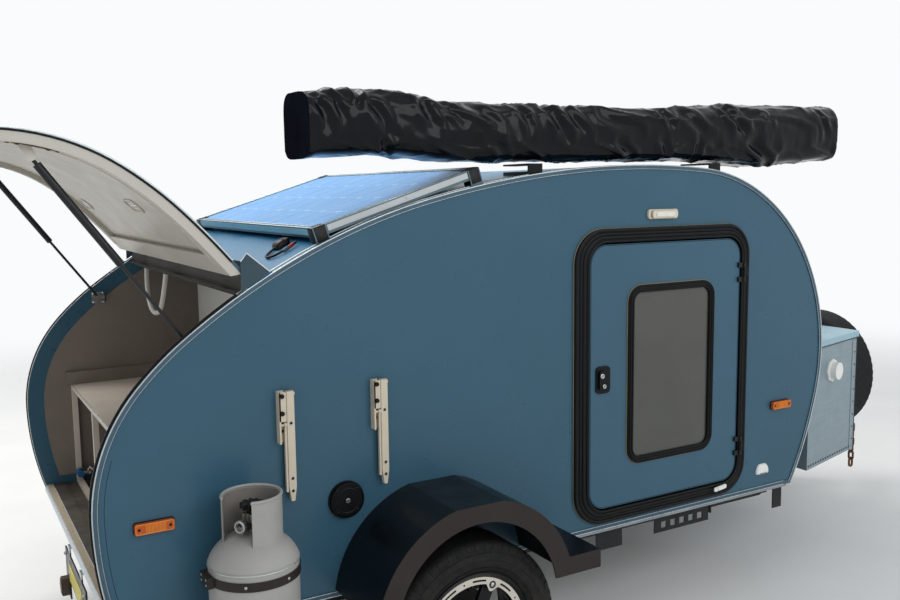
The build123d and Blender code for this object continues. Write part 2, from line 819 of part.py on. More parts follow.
def tube_between(p, q, w, h):
    """A straight box section between two points at the same height."""
    dx = q[0] - p[0]
    dy = q[1] - p[1]
    length = math.hypot(dx, dy)
    mid = ((p[0] + q[0]) / 2, (p[1] + q[1]) / 2)
    angle = math.degrees(math.atan2(dy, dx))
    return Pos(bx(mid[0]), mid[1], bz(p[2])) * Rot(0, 0, angle) * Box(length, w, h)


def spring_eyes():
    return [WHEEL_X - SPRING_SPAN / 2, WHEEL_X + SPRING_SPAN / 2]


SPRING_MID_Z = WHEEL_Z - AXLE_SIZE / 2 - SPRING_T / 2 - SPRING_SEAT
SPRING_EYE_Z = SPRING_MID_Z + SPRING_CAMBER


def make_chassis():
    """Rails, cross members, the drawbar, spring hangers and the corner legs' lugs."""
    parts = []
    for side in (-1, 1):
        y = side * RAIL_Y
        parts.append(block(RAIL_X0, RAIL_X1, y - RAIL_W / 2, y + RAIL_W / 2, -RAIL_H, 0))
    for x in CROSS_X:
        parts.append(block(x - CROSS_W / 2, x + CROSS_W / 2, -RAIL_Y, RAIL_Y, -CROSS_H, 0))
    for side in (-1, 1):
        p = (DRAWBAR_REAR_X, side * DRAWBAR_REAR_Y, -RAIL_H / 2)
        q = (DRAWBAR_FRONT_X, side * DRAWBAR_FRONT_Y, -RAIL_H / 2)
        parts.append(tube_between(p, q, RAIL_W, RAIL_H))
    nose = DRAWBAR_FRONT_Y + RAIL_W / 2
    parts.append(block(DRAWBAR_FRONT_X - 150, DRAWBAR_FRONT_X, -nose, nose, -8, 0))
    for side in (-1, 1):
        for x in spring_eyes():
            for off in (-1, 1):
                y = side * RAIL_Y + off * (SPRING_W / 2 + SPRING_SEAT + 3)
                plate = block(x - 22, x + 22, y - 3, y + 3, SPRING_EYE_Z - 20, -RAIL_H - 3)
                parts.append(plate)
            y0 = side * RAIL_Y - SPRING_W / 2 - 4
            y1 = side * RAIL_Y + SPRING_W / 2 + 4
            parts.append(rod_y(x, SPRING_EYE_Z, SPRING_PIN_R, y0, y1))
            parts.append(block(x - 22, x + 22, y0 - 2, y1 + 2, -RAIL_H - 6, -RAIL_H))
    for side in (-1, 1):
        y0, y1 = sided(side, HALF - LEDGE_W, HALF)
        parts.append(block(LEDGE_X0, LEDGE_X1, y0, y1, -LEDGE_H, 0))
        for rear, front, low, holes in OUTRIGGERS:
            y0, y1 = sided(side, RAIL_Y + RAIL_W / 2 - 1, HALF - LEDGE_W + 1)
            parts.append(block(rear, front, y0, y1, -OUTRIGGER_T, 0))
            edge = HALF - OUTRIGGER_INSET
            y0, y1 = sided(side, edge - OUTRIGGER_T, edge)
            plate = block(rear, front, y0, y1, low, 0)
            hole_top = low + OUTRIGGER_HOLE + 14
            for i in range(holes):
                mid = rear + (i + 1) * (front - rear) / (holes + 1)
                plate = plate - block(mid - OUTRIGGER_HOLE / 2, mid + OUTRIGGER_HOLE / 2, y0 - 1, y1 + 1,
                                      low + 14, hole_top)
            parts.append(plate)
    for name, x, side, way in LEGS:
        rail_face = RAIL_Y + RAIL_W / 2
        y0, y1 = sided(side, rail_face - 1, rail_face + 8)
        parts.append(block(x - 22, x + 22, y0, y1, LEG_Z - 22, 0))
        y0, y1 = sided(side, rail_face + 7, rail_face + 8 + KNUCKLE_GAP + LEG_SIZE + 6)
        parts.append(rod_y(x, LEG_Z, LEG_PIN_R, y0, y1))
    return join(parts)


def make_leg(x, side, way):
    """A corner leg folded up under the body, with its foot."""
    face = RAIL_Y + RAIL_W / 2 + 8 + KNUCKLE_GAP
    y0, y1 = sided(side, face, face + LEG_SIZE)
    tip = x + way * LEG_L
    bar = block(min(x, tip), max(x, tip), y0, y1, LEG_Z - LEG_SIZE / 2, LEG_Z + LEG_SIZE / 2)
    end = rod_y(x, LEG_Z, LEG_SIZE / 2, y0, y1)
    f0, f1 = sided(side, face, face + LEG_SIZE + 24)
    foot = block(min(tip, tip + way * 6), max(tip, tip + way * 6), f0, f1, LEG_Z - 26, LEG_Z + 26)
    bore = rod_y(x, LEG_Z, LEG_PIN_R + HINGE_RUN, y0 - 1, y1 + 1)
    return bar + end + foot - bore


def make_coupling():
    """The coupling head with its ball socket, on its channel over the drawbar."""
    rear = -COUPLING_REAR
    base_z = bz(0)
    channel = Pos(rear / 2 - 8, 0, base_z + 18) * Box(-rear - 16, COUPLING_W, 36)
    head = Pos(0, 0, -SOCKET_BELOW) * Cylinder(
        COUPLING_HEAD_R, SOCKET_BELOW + COUPLING_DOME_Z, align=(Align.CENTER, Align.CENTER, Align.MIN))
    head = head + Pos(0, 0, COUPLING_DOME_Z) * Sphere(COUPLING_HEAD_R)
    lever = make_face(Polyline(
        (HANDLE_REAR, base_z + 30), (HANDLE_REAR, base_z + 84), (HANDLE_REAR + 26, base_z + 88),
        (HANDLE_REAR + 118, base_z + 50), (HANDLE_REAR + 118, base_z + 30), close=True))
    handle = extrude(Plane(origin=(0, HANDLE_W / 2, 0), x_dir=(1, 0, 0), z_dir=(0, -1, 0)) * lever, amount=HANDLE_W)
    body = channel + head + handle
    wall = Pos(0, 0, -SOCKET_BELOW - 1) * Cylinder(
        BALL_SOCKET_R, SOCKET_BELOW + SOCKET_ABOVE + 1, align=(Align.CENTER, Align.CENTER, Align.MIN))
    dome = Pos(0, 0, SOCKET_ABOVE) * Sphere(BALL_SOCKET_R)
    dome = dome & (Pos(0, 0, SOCKET_ABOVE + 50) * Box(200, 200, 100))
    return body - wall - dome


# Running gear

def make_axle():
    """The beam axle with its spring pads, brake drums and spindles."""
    parts = []
    half = AXLE_SIZE / 2
    end = WHEEL_Y - TYRE_W / 2 - 4
    parts.append(block(WHEEL_X - half, WHEEL_X + half, -end, end, WHEEL_Z - half, WHEEL_Z + half))
    for side in (-1, 1):
        y0, y1 = sided(side, WHEEL_Y - 62, WHEEL_Y - 62 + BRAKE_T)
        parts.append(rod_y(WHEEL_X, WHEEL_Z, BRAKE_R, y0, y1))
        y0, y1 = sided(side, end - 10, WHEEL_Y + 40)
        parts.append(rod_y(WHEEL_X, WHEEL_Z, SPINDLE_R, y0, y1))
        y = side * RAIL_Y
        for off in (-1, 1):
            bolt_y = y + off * (SPRING_W / 2 + 6)
            for x in (WHEEL_X - half - 6, WHEEL_X + half + 6):
                parts.append(rod_z(x, bolt_y, 5, SPRING_MID_Z - SPRING_T / 2 - 14, WHEEL_Z + half + 8))
        cap = block(WHEEL_X - half - 14, WHEEL_X + half + 14, y - SPRING_W / 2 - 12,
                    y + SPRING_W / 2 + 12, WHEEL_Z + half, WHEEL_Z + half + 8)
        low = SPRING_MID_Z - SPRING_T / 2 - SPRING_SEAT
        plate = block(WHEEL_X - half - 14, WHEEL_X + half + 14, y - SPRING_W / 2 - 12,
                      y + SPRING_W / 2 + 12, low - 8, low)
        parts.append(cap)
        parts.append(plate)
    return join(parts)


def make_springs():
    """A cambered leaf spring under each end of the axle."""
    springs = []
    x0, x1 = spring_eyes()
    for side in (-1, 1):
        y0 = side * RAIL_Y - SPRING_W / 2
        y1 = side * RAIL_Y + SPRING_W / 2
        half = SPRING_T / 2
        low = ThreePointArc((x0, SPRING_EYE_Z - half), (WHEEL_X, SPRING_MID_Z - half), (x1, SPRING_EYE_Z - half))
        high = ThreePointArc((x0, SPRING_EYE_Z + half), (WHEEL_X, SPRING_MID_Z + half), (x1, SPRING_EYE_Z + half))
        start = Line((x0, SPRING_EYE_Z - half), (x0, SPRING_EYE_Z + half))
        end = Line((x1, SPRING_EYE_Z - half), (x1, SPRING_EYE_Z + half))
        band = side_slab(make_face([low, end, high, start]), y0, y1)
        for x in (x0, x1):
            band = band + rod_y(x, SPRING_EYE_Z, SPRING_EYE_R, y0, y1)
        for x in (x0, x1):
            band = band - rod_y(x, SPRING_EYE_Z, SPRING_PIN_R + SPRING_SEAT, y0 - 1, y1 + 1)
        springs.append(band)
    return springs


def tyre_shape():
    """A tyre about the Z axis, its outer side up."""
    w = TYRE_W / 2
    bead = RIM_R + RIM_SEAT
    crown = TYRE_R
    shoulder = TYRE_R - 22
    seat = RIM_W / 2 - 11
    section = make_face([
        Line((bead, -seat), (bead, seat)),
        Line((bead, seat), (bead + 8, seat)),
        Line((bead + 8, seat), (bead + 14, RIM_W / 2 - 4)),
        ThreePointArc((bead + 14, RIM_W / 2 - 4), ((bead + shoulder) / 2 + 8, w), (shoulder, w - 10)),
        ThreePointArc((shoulder, w - 10), (crown - 6, w - 17), (crown, w - 34)),
        Line((crown, w - 34), (crown, -w + 34)),
        ThreePointArc((crown, -w + 34), (crown - 6, -w + 17), (shoulder, -w + 10)),
        ThreePointArc((shoulder, -w + 10), ((bead + shoulder) / 2 + 8, -w), (bead + 14, -RIM_W / 2 + 4)),
        Line((bead + 14, -RIM_W / 2 + 4), (bead + 8, -seat)),
        Line((bead + 8, -seat), (bead, -seat)),
    ])
    return revolve(Plane.XZ * section, Axis.Z)


def rim_shape(bore_r):
    """A wheel rim about the Z axis, its outer face up."""
    half = RIM_W / 2
    t = RIM_T
    barrel = make_face(Polyline(
        (RIM_R, -half + 10), (RIM_R, half - 10), (RIM_R + 6, half - 10 + 1), (RIM_R + 6, half - 5),
        (RIM_R - 1, half - 2), (RIM_R - t - 4, half - 12), (RIM_R - t - 14, 20),
        (RIM_R - t - 14, -20), (RIM_R - t, -half + 12), (RIM_R - t, -half + 5),
        (RIM_R + 6, -half + 5), (RIM_R + 6, -half + 10 - 1),
        close=True,
    ))
    ring = revolve(Plane.XZ * barrel, Axis.Z)
    disc_z = half - RIM_DISC_DROP
    face_z = half - RIM_FACE_DROP
    disc = Pos(0, 0, disc_z) * Cylinder(RIM_R - 6, RIM_DISC_T)
    windows = Circle(RIM_WINDOW_OUT_R) - Circle(RIM_WINDOW_IN_R)
    face = extrude(Pos(0, 0, disc_z) * (Circle(RIM_FACE_OUT_R) - Circle(RIM_FACE_IN_R)), amount=face_z - disc_z)
    reach = RIM_FACE_IN_R + 3
    wide = math.radians(BOSS_HALF_DEG)
    boss = make_face(Polyline(
        (reach * math.cos(wide), -reach * math.sin(wide)),
        (reach * math.cos(wide), reach * math.sin(wide)),
        (BOSS_TIP_R, BOSS_TIP_W / 2),
        (BOSS_TIP_R, -BOSS_TIP_W / 2),
        close=True,
    ))
    cuts = []
    for i in range(BOSSES):
        angle = BOSS_FIRST_DEG + i * 360 / BOSSES
        spoke = Pos(RIM_WINDOW_OUT_R / 2, 0) * Rectangle(RIM_WINDOW_OUT_R + 2, SPOKE_W)
        windows = windows - Rot(0, 0, angle) * spoke
        face = face + extrude(Pos(0, 0, face_z - BOSS_T) * Rot(0, 0, angle) * boss, amount=BOSS_T)
        for off in (-SLOT_OFF_DEG, SLOT_OFF_DEG):
            arc = CenterArc((0, 0), SLOT_R, angle + off - SLOT_SPAN_DEG / 2, SLOT_SPAN_DEG)
            cuts.append(extrude(Pos(0, 0, face_z - SLOT_DEPTH) * SlotArc(arc, SLOT_W), amount=SLOT_DEPTH + 1))
        hole = Rot(0, 0, angle + 180 / BOSSES) * Pos(SLOT_R, 0) * Circle(FACE_HOLE_R)
        cuts.append(extrude(Pos(0, 0, face_z - SLOT_DEPTH) * hole, amount=SLOT_DEPTH + 1))
    disc = disc - extrude(Pos(0, 0, disc_z - 20) * windows, amount=40)
    hub = Pos(0, 0, disc_z - 36) * Cylinder(HUB_R, 30, align=(Align.CENTER, Align.CENTER, Align.MIN))
    cap = Pos(0, 0, disc_z) * Cylinder(30, 36, align=(Align.CENTER, Align.CENTER, Align.MIN))
    rim = ring + disc + face + hub + cap
    for cut in cuts:
        rim = rim - cut
    if bore_r > 0:
        depth = disc_z + 18
        rim = rim - Pos(0, 0, -half) * Cylinder(bore_r, half + depth,
                                                align=(Align.CENTER, Align.CENTER, Align.MIN))
    return rim


def at_wheel(shape, side):
    """Stand a wheel shape on its axle, outer face outwards."""
    turn = 90 if side < 0 else -90
    return Pos(bx(WHEEL_X), side * WHEEL_Y, bz(WHEEL_Z)) * Rot(turn, 0, 0) * shape


SPARE_X = BOX_X1 + SPARE_GAP + TYRE_W / 2


def at_spare(shape):
    """Stand a wheel shape on the front of the box, outer face forward."""
    return Pos(bx(SPARE_X), SPARE_Y, bz(SPARE_Z)) * Rot(0, 90, 0) * shape


# Fenders

def fender_disc(r, top):
    """The side view of the arch at a radius, cut flat below and on top."""
    room = window_of(FENDER_X - FENDER_R - 1, FENDER_X + FENDER_R + 1, FENDER_LOW_Z, top)
    return (Pos(FENDER_X, FENDER_Z) * Circle(r)) & room


def make_fender(side):
    """A round arch with an outer flange and a foot along the body at its front."""
    whole = fender_disc(FENDER_R, FENDER_FLAT_Z)
    under = Pos(FENDER_X, FENDER_Z) * Circle(FENDER_R - FENDER_T)
    under = under & window_of(FENDER_X - FENDER_R, FENDER_X + FENDER_R, FENDER_LOW_Z - 50, FENDER_FLAT_Z - FENDER_T)
    y0, y1 = sided(side, HALF, HALF + FENDER_DEPTH)
    fender = side_slab(whole - under, y0, y1)
    p0, p1 = sided(side, HALF + FENDER_DEPTH - FENDER_T, HALF + FENDER_DEPTH)
    fender = fender + side_slab(whole - Pos(FENDER_X, FENDER_Z) * Circle(FENDER_LIP_R), p0, p1)
    root_r = FENDER_R - FENDER_T / 2
    root = FENDER_X + math.sqrt(root_r ** 2 - (FENDER_FOOT_Z - FENDER_Z) ** 2)
    top = block(root, FENDER_FOOT_X1, y0, y1, FENDER_FOOT_Z - FENDER_T, FENDER_FOOT_Z)
    end = block(FENDER_FOOT_X1 - FENDER_T, FENDER_FOOT_X1, y0, y1, FENDER_LOW_Z, FENDER_FOOT_Z)
    fall = block(root - FENDER_T, FENDER_FOOT_X1, p0, p1, FENDER_LOW_Z, FENDER_FOOT_Z)
    return fender + top + end + fall


# Front storage box

def box_plan(grow, x_grow):
    """The tapered plan of the box, grown sideways and lengthwise."""
    slope = (BOX_HALF_REAR - BOX_HALF_FRONT) / (BOX_X1 - BOX_X0)
    x0 = BOX_X0 - x_grow
    x1 = BOX_X1 + x_grow
    h0 = BOX_HALF_REAR + slope * x_grow + grow
    h1 = BOX_HALF_FRONT - slope * x_grow + grow
    return make_face(Polyline((bx(x0), -h0), (bx(x1), -h1), (bx(x1), h1), (bx(x0), h0), close=True))


def box_prism(grow, x_grow, z0, z1):
    return extrude(Pos(0, 0, bz(z0)) * box_plan(grow, x_grow), amount=z1 - z0)


def lid_axis():
    """Distance and height of the lid's hinge line."""
    return (BOX_X0 - LID_BARREL_R - 1, BOX_H + LID_SEAT + LID_T / 2)


def make_storage_box():
    """The open aluminium box with its hinge knuckles and the spare wheel's carrier."""
    shell = box_prism(0, 0, 0, BOX_H) - box_prism(-BOX_T, -BOX_T, BOX_T, BOX_H + 1)
    stub = rod_x(BOX_X1 - 1, SPARE_X + RIM_W / 2 - RIM_DISC_DROP - RIM_DISC_T / 2, SPARE_Y, SPARE_Z, SPINDLE_R - 1)
    plate = rod_x(BOX_X1 - 1, BOX_X1 + 10, SPARE_Y, SPARE_Z, CARRIER_R)
    parts = [shell, stub, plate]
    corner_top = BOX_H + LID_SEAT - LID_SKIRT - CORNER_TOP_GAP
    corners = box_prism(CORNER_PROUD, CORNER_PROUD, 0, corner_top) - box_prism(-1, -1, -1, BOX_H)
    for side in (-1, 1):
        y0, y1 = sided(side, BOX_HALF_FRONT - CORNER_W, BOX_HALF_REAR + 20)
        parts.append(corners & block(BOX_X1 - CORNER_W, BOX_X1 + 20, y0, y1, 0, BOX_H))
    x, z = lid_axis()
    for y in LID_HINGE_Y:
        y0 = y - LID_KNUCKLE_L / 2
        y1 = y + LID_KNUCKLE_L / 2
        barrel = rod_y(x, z, LID_BARREL_R, y0, y1)
        leaf = block(x - 2, x + 2, y0, y1, BOX_H - 24, z)
        foot = block(x - 2, BOX_X0 + 1, y0, y1, BOX_H - 24, BOX_H - 12)
        parts.append(barrel + leaf + foot - rod_y(x, z, LID_PIN_R + HINGE_RUN, y0 - 1, y1 + 1))
    return join(parts)


def make_box_lid():
    """A shallow lid over the box, hinged along its rear edge, open under its rear side."""
    top = BOX_H + LID_SEAT
    grow = LID_GAP + LID_T
    lid = box_prism(grow, grow, top - LID_SKIRT, top + LID_T)
    lid = lid - box_prism(LID_GAP, LID_GAP, top - LID_SKIRT - 1, top)
    x, z = lid_axis()
    behind = block(BOX_X0 - 60, BOX_X0 + 1, -HALF, HALF, 0, BOX_H + 60)
    sides = block(BOX_X0 - 60, BOX_X0 + LID_SKIRT + 8, -HALF, HALF, 0, BOX_H)
    lid = lid - behind - sides
    for y in LID_HINGE_Y:
        start = LID_KNUCKLE_L / 2 + KNUCKLE_GAP
        end = start + LID_KNUCKLE_L / 2
        for sign in (-1, 1):
            y0, y1 = sorted((y + sign * start, y + sign * end))
            barrel = rod_y(x, z, LID_BARREL_R, y0, y1)
            leaf = block(x, BOX_X0 + 6, y0, y1, z - LID_T / 2, z + LID_T / 2)
            lid = lid + barrel + leaf
        lid = lid + rod_y(x, z, LID_PIN_R, y - end, y + end)
    return lid


# Small parts

def make_bag():
    """The closed awning bag, a soft rounded block of uneven height."""
    mid_y = BAG_Y0 + BAG_DEPTH / 2
    sections = []
    for x, low, high in BAG_SECTIONS:
        plane = Plane(origin=(bx(x), mid_y, bz((low + high) / 2)), x_dir=(0, 1, 0), z_dir=(1, 0, 0))
        sections.append(plane * RectangleRounded(BAG_DEPTH, high - low, BAG_R))
    return loft(sections, ruled=True)


def bag_low(x):
    """Height of the bag's lower edge at a distance x."""
    for (x0, low0, high0), (x1, low1, high1) in zip(BAG_SECTIONS[:-1], BAG_SECTIONS[1:]):
        if x0 <= x <= x1:
            return low0 + (low1 - low0) * (x - x0) / (x1 - x0)
    return BAG_SECTIONS[0][1]


def make_brackets():
    """Angle brackets between the roof and the awning bag."""
    brackets = []
    for x in BRACKET_X:
        roof = arc_height(x, 0)
        x0 = x - BRACKET_W / 2
        x1 = x + BRACKET_W / 2
        y0 = BAG_Y0 + 30
        base = roof + 2
        top = min(bag_low(x0), bag_low(x1)) - BAG_SEAT
        foot = block(x0, x1, y0, y0 + BRACKET_DEPTH, base - 12, base + BRACKET_T)
        upright = block(x0, x1, y0, y0 + BRACKET_T, base, top)
        shelf = block(x0, x1, y0, y0 + BRACKET_DEPTH, top - BRACKET_T, top)
        solid = foot + upright + shelf - side_slab(grown(0.3), -HALF, HALF)
        brackets.append(solid)
    return brackets


def solar_place(shape):
    """Carry a panel shape, drawn flat with its rear edge at x=0 and its top at z=0, to the roof."""
    return Pos(bx(SOLAR_X), (SOLAR_Y0 + SOLAR_Y1) / 2, bz(SOLAR_Z)) * Rot(0, -SOLAR_SLOPE, 0) * shape


def make_solar():
    """The framed panel and its corner mounts."""
    width = SOLAR_Y1 - SOLAR_Y0
    body = Pos(SOLAR_L / 2, 0, -SOLAR_T / 2) * Box(SOLAR_L, width, SOLAR_T)
    top = Pos(SOLAR_L / 2, 0, -SOLAR_RECESS / 2) * Box(
        SOLAR_L - SOLAR_FRAME, width - SOLAR_FRAME, SOLAR_RECESS + 0.01)
    under = Pos(SOLAR_L / 2, 0, -SOLAR_T + 8) * Box(SOLAR_L - SOLAR_FRAME * 2, width - SOLAR_FRAME * 2, 20)
    panel = solar_place(body - top - under)
    for along in (0, SOLAR_L):
        for across in (-width / 2, width / 2):
            sx = 1 if along == 0 else -1
            sy = 1 if across < 0 else -1
            cap = Pos(along + sx * (SOLAR_CAP / 2 - SOLAR_CAP_T), across + sy * (SOLAR_CAP / 2 - SOLAR_CAP_T),
                      -SOLAR_T / 2 - 14) * Box(SOLAR_CAP, SOLAR_CAP, SOLAR_T + 28)
            panel = panel + solar_place(cap)
    return panel - side_slab(grown(0.3), -HALF, HALF)


def make_solar_cable():
    """The black cable on the roof behind the panel, from the panel to its entry housing."""
    roof_gap = 6.0
    points = []
    # Route over the roof. Columns: x, y, height above the roof
    for x, y, lift in SOLAR_ROUTE:
        points.append((bx(x), y, bz(arc_height(x, 0) + roof_gap + lift)))
    path = FilletPolyline(*points, radius=22)
    start = Plane(origin=path @ 0, z_dir=path % 0)
    cable = sweep(start * Circle(4.0), path=path)
    last = SOLAR_ROUTE[-1]
    base = arc_height(last[0] + 30, 0)
    housing = block(last[0], last[0] + 44, last[1] - 26, last[1] + 26, base - 30, base + 24)
    housing = housing - side_slab(grown(0.3), -HALF, HALF)
    return [cable, housing]


SOLAR_ROUTE = [
    (636.0, -640.0, 6.0),
    (590.0, -650.0, 2.0),
    (556.0, -622.0, 0.0),
    (560.0, -570.0, 0.0),
    (600.0, -548.0, 0.0),
]


def make_bottle():
    """The gas bottle with its foot ring, valve and collar guard, about the Z axis at the wall."""
    r = BOTTLE_R
    z0 = BOTTLE_Z0 + BOTTLE_FOOT_H
    z1 = BOTTLE_SHOULDER_Z
    dome = BOTTLE_DOME_H
    section = make_face([
        Line((0, z0), (r - 20, z0)),
        ThreePointArc((r - 20, z0), (r - 6, z0 + 6), (r, z0 + 20)),
        Line((r, z0 + 20), (r, z1)),
        ThreePointArc((r, z1), (r * 0.72, z1 + dome * 0.7), (0, z1 + dome)),
        Line((0, z1 + dome), (0, z0)),
    ])
    body = revolve(Plane.XZ * section, Axis.Z)
    foot = Pos(0, 0, BOTTLE_Z0) * (
        Cylinder(r - 26, BOTTLE_FOOT_H + 12, align=(Align.CENTER, Align.CENTER, Align.MIN))
        - Cylinder(r - 30, BOTTLE_FOOT_H + 14, align=(Align.CENTER, Align.CENTER, Align.MIN)))
    height = COLLAR_Z1 - COLLAR_Z0
    collar = Pos(0, 0, COLLAR_Z0) * (
        Cylinder(COLLAR_R, height, align=(Align.CENTER, Align.CENTER, Align.MIN))
        - Cylinder(COLLAR_R - COLLAR_T, height, align=(Align.CENTER, Align.CENTER, Align.MIN)))
    roll = Pos(0, 0, COLLAR_Z1) * Torus(COLLAR_R - COLLAR_T / 2, COLLAR_ROLL_R)
    gap = Pos(-COLLAR_R, 0, COLLAR_Z0 + height / 2) * Box(80, 2 * COLLAR_GAP_HALF, height + 40)
    collar = collar + roll - gap
    seam = Pos(0, 0, SEAM_Z) * (Cylinder(r + SEAM_PROUD, SEAM_H) - Cylinder(r - 2, SEAM_H + 2))
    valve = Pos(0, 0, z1 + dome - 12) * Cylinder(15, 54, align=(Align.CENTER, Align.CENTER, Align.MIN))
    grip = Circle(HAND_WHEEL_R)
    for i in range(HAND_WHEEL_LOBES):
        grip = grip + Rot(0, 0, i * 360 / HAND_WHEEL_LOBES) * Pos(HAND_WHEEL_R, 0) * Circle(8)
    wheel = extrude(Pos(0, 0, z1 + dome + 40) * grip, amount=18)
    outlet = Pos(-28, 0, z1 + dome + 22) * Rot(0, 90, 0) * Cylinder(11, 44)
    bottle = body + foot + collar + seam + valve + wheel + outlet
    return Pos(bx(BOTTLE_X), -BOTTLE_Y, bz(0)) * Rot(0, 0, COLLAR_GAP_DEG) * bottle


BOTTLE_Y = HALF + BOTTLE_GAP + BOTTLE_R


def make_bottle_bracket():
    """The wall plate, tray and strap that hold the bottle."""
    face = -HALF - TRIM_PROUD
    plate = block(BOTTLE_X - 45, BOTTLE_X + 45, face - TRAY_T, face, BOTTLE_Z0 - TRAY_T, STRAP_Z + 50)
    pad = block(BOTTLE_X - 45, BOTTLE_X + 45, face - 1, -HALF, TRIM_W + 4, STRAP_Z + 50)
    tray = block(BOTTLE_X - 70, BOTTLE_X + 70, -BOTTLE_Y - 60, face, BOTTLE_Z0 - TRAY_T, BOTTLE_Z0)
    ring = Cylinder(BOTTLE_R + 0.3 + STRAP_T, STRAP_W) - Cylinder(BOTTLE_R + 0.3, STRAP_W + 2)
    strap = Pos(bx(BOTTLE_X), -BOTTLE_Y, bz(STRAP_Z)) * ring
    back = block(BOTTLE_X - 18, BOTTLE_X + 18, -HALF - BOTTLE_GAP - 2, face - TRAY_T + 1,
                 STRAP_Z - STRAP_W / 2, STRAP_Z + STRAP_W / 2)
    back = back - rod_z(BOTTLE_X, -BOTTLE_Y, BOTTLE_R + 0.3, STRAP_Z - 40, STRAP_Z + 40)
    latch = block(BOTTLE_X - BOTTLE_R - 16, BOTTLE_X - BOTTLE_R + 1, -BOTTLE_Y - 34, -BOTTLE_Y + 34,
                  STRAP_Z - STRAP_W / 2 - 3, STRAP_Z + STRAP_W / 2 + 3)
    latch = latch - rod_z(BOTTLE_X, -BOTTLE_Y, BOTTLE_R + 1, STRAP_Z - 40, STRAP_Z + 40)
    return join([plate, pad, tray, strap, back, latch])


def make_lamps():
    """Orange side lamps and the lamp over each door."""
    lamps = []
    for side in (-1, 1):
        for x, z in SIDE_LAMPS:
            y0, y1 = sided(side, HALF, HALF + SIDE_LAMP_T)
            shape = side_rect(x - SIDE_LAMP_L / 2, x + SIDE_LAMP_L / 2, z - SIDE_LAMP_H / 2,
                              z + SIDE_LAMP_H / 2, 6)
            lamps.append(side_slab(shape, y0, y1))
        y0, y1 = sided(side, HALF, HALF + COURTESY_T)
        shape = side_rect(COURTESY_X - COURTESY_L / 2, COURTESY_X + COURTESY_L / 2,
                          COURTESY_Z - COURTESY_H / 2, COURTESY_Z + COURTESY_H / 2, 8)
        lamps.append(side_slab(shape, y0, y1))
    return lamps


def arm_pivot():
    """Height and distance from the wall of the table arms' pins."""
    return (ARM_TOP_Z - ARM_PIVOT_DROP, -HALF - ARM_STANDOFF - ARM_D / 2)


def make_table_plate(x):
    """A wall plate with the two pins that the folding arm and its brace turn on."""
    z, y = arm_pivot()
    plate = block(x - 34, x - 12, -HALF - 5, -HALF, ARM_TOP_Z - ARM_PLATE_H, ARM_TOP_Z)
    ear = block(x - 34, x - 29, -HALF - ARM_STANDOFF - ARM_D, -HALF, ARM_TOP_Z - ARM_PLATE_H, ARM_TOP_Z)
    pin = rod_x(x - 30, x + ARM_W / 2 + 4, y, z, ARM_PIN_R)
    low = rod_x(x - 30, x - ARM_W / 2 - 0.2, y, z - BRACE_DROP, ARM_PIN_R)
    return join([plate, ear, pin, low])


def make_table_arm(x):
    """The long arm of a folding table support, hanging folded."""
    z, y = arm_pivot()
    sketch = make_face(Polyline(
        (x - ARM_W / 2, ARM_TOP_Z),
        (x + ARM_W / 2, ARM_TOP_Z),
        (x + ARM_W / 2, ARM_TOP_Z - ARM_L + 42),
        (x + 5, ARM_TOP_Z - ARM_L),
        (x - 5, ARM_TOP_Z - ARM_L),
        (x - ARM_W / 2, ARM_TOP_Z - ARM_L + 42),
        close=True,
    ))
    back = -HALF - ARM_STANDOFF
    arm = side_slab(sketch, back - ARM_D, back)
    groove = block(x - ARM_W / 2 + 3, x + ARM_W / 2 - 3, back - ARM_D + 3, back + 1,
                   ARM_TOP_Z - ARM_L + 60, ARM_TOP_Z - 34)
    bore = rod_x(x - ARM_W, x + ARM_W, y, z, ARM_PIN_R + HINGE_RUN)
    return arm - groove - bore


def make_table_brace(x):
    """The thin brace beside the arm."""
    z, y = arm_pivot()
    x0 = x - ARM_W / 2 - 1 - BRACE_T
    low = z - BRACE_DROP
    bar = block(x0, x0 + BRACE_T, y - 5, y + 5, low - BRACE_L, low)
    head = rod_x(x0, x0 + BRACE_T, y, low, 8)
    bore = rod_x(x0 - 1, x0 + BRACE_T + 1, y, low, ARM_PIN_R + HINGE_RUN)
    return bar + head - bore


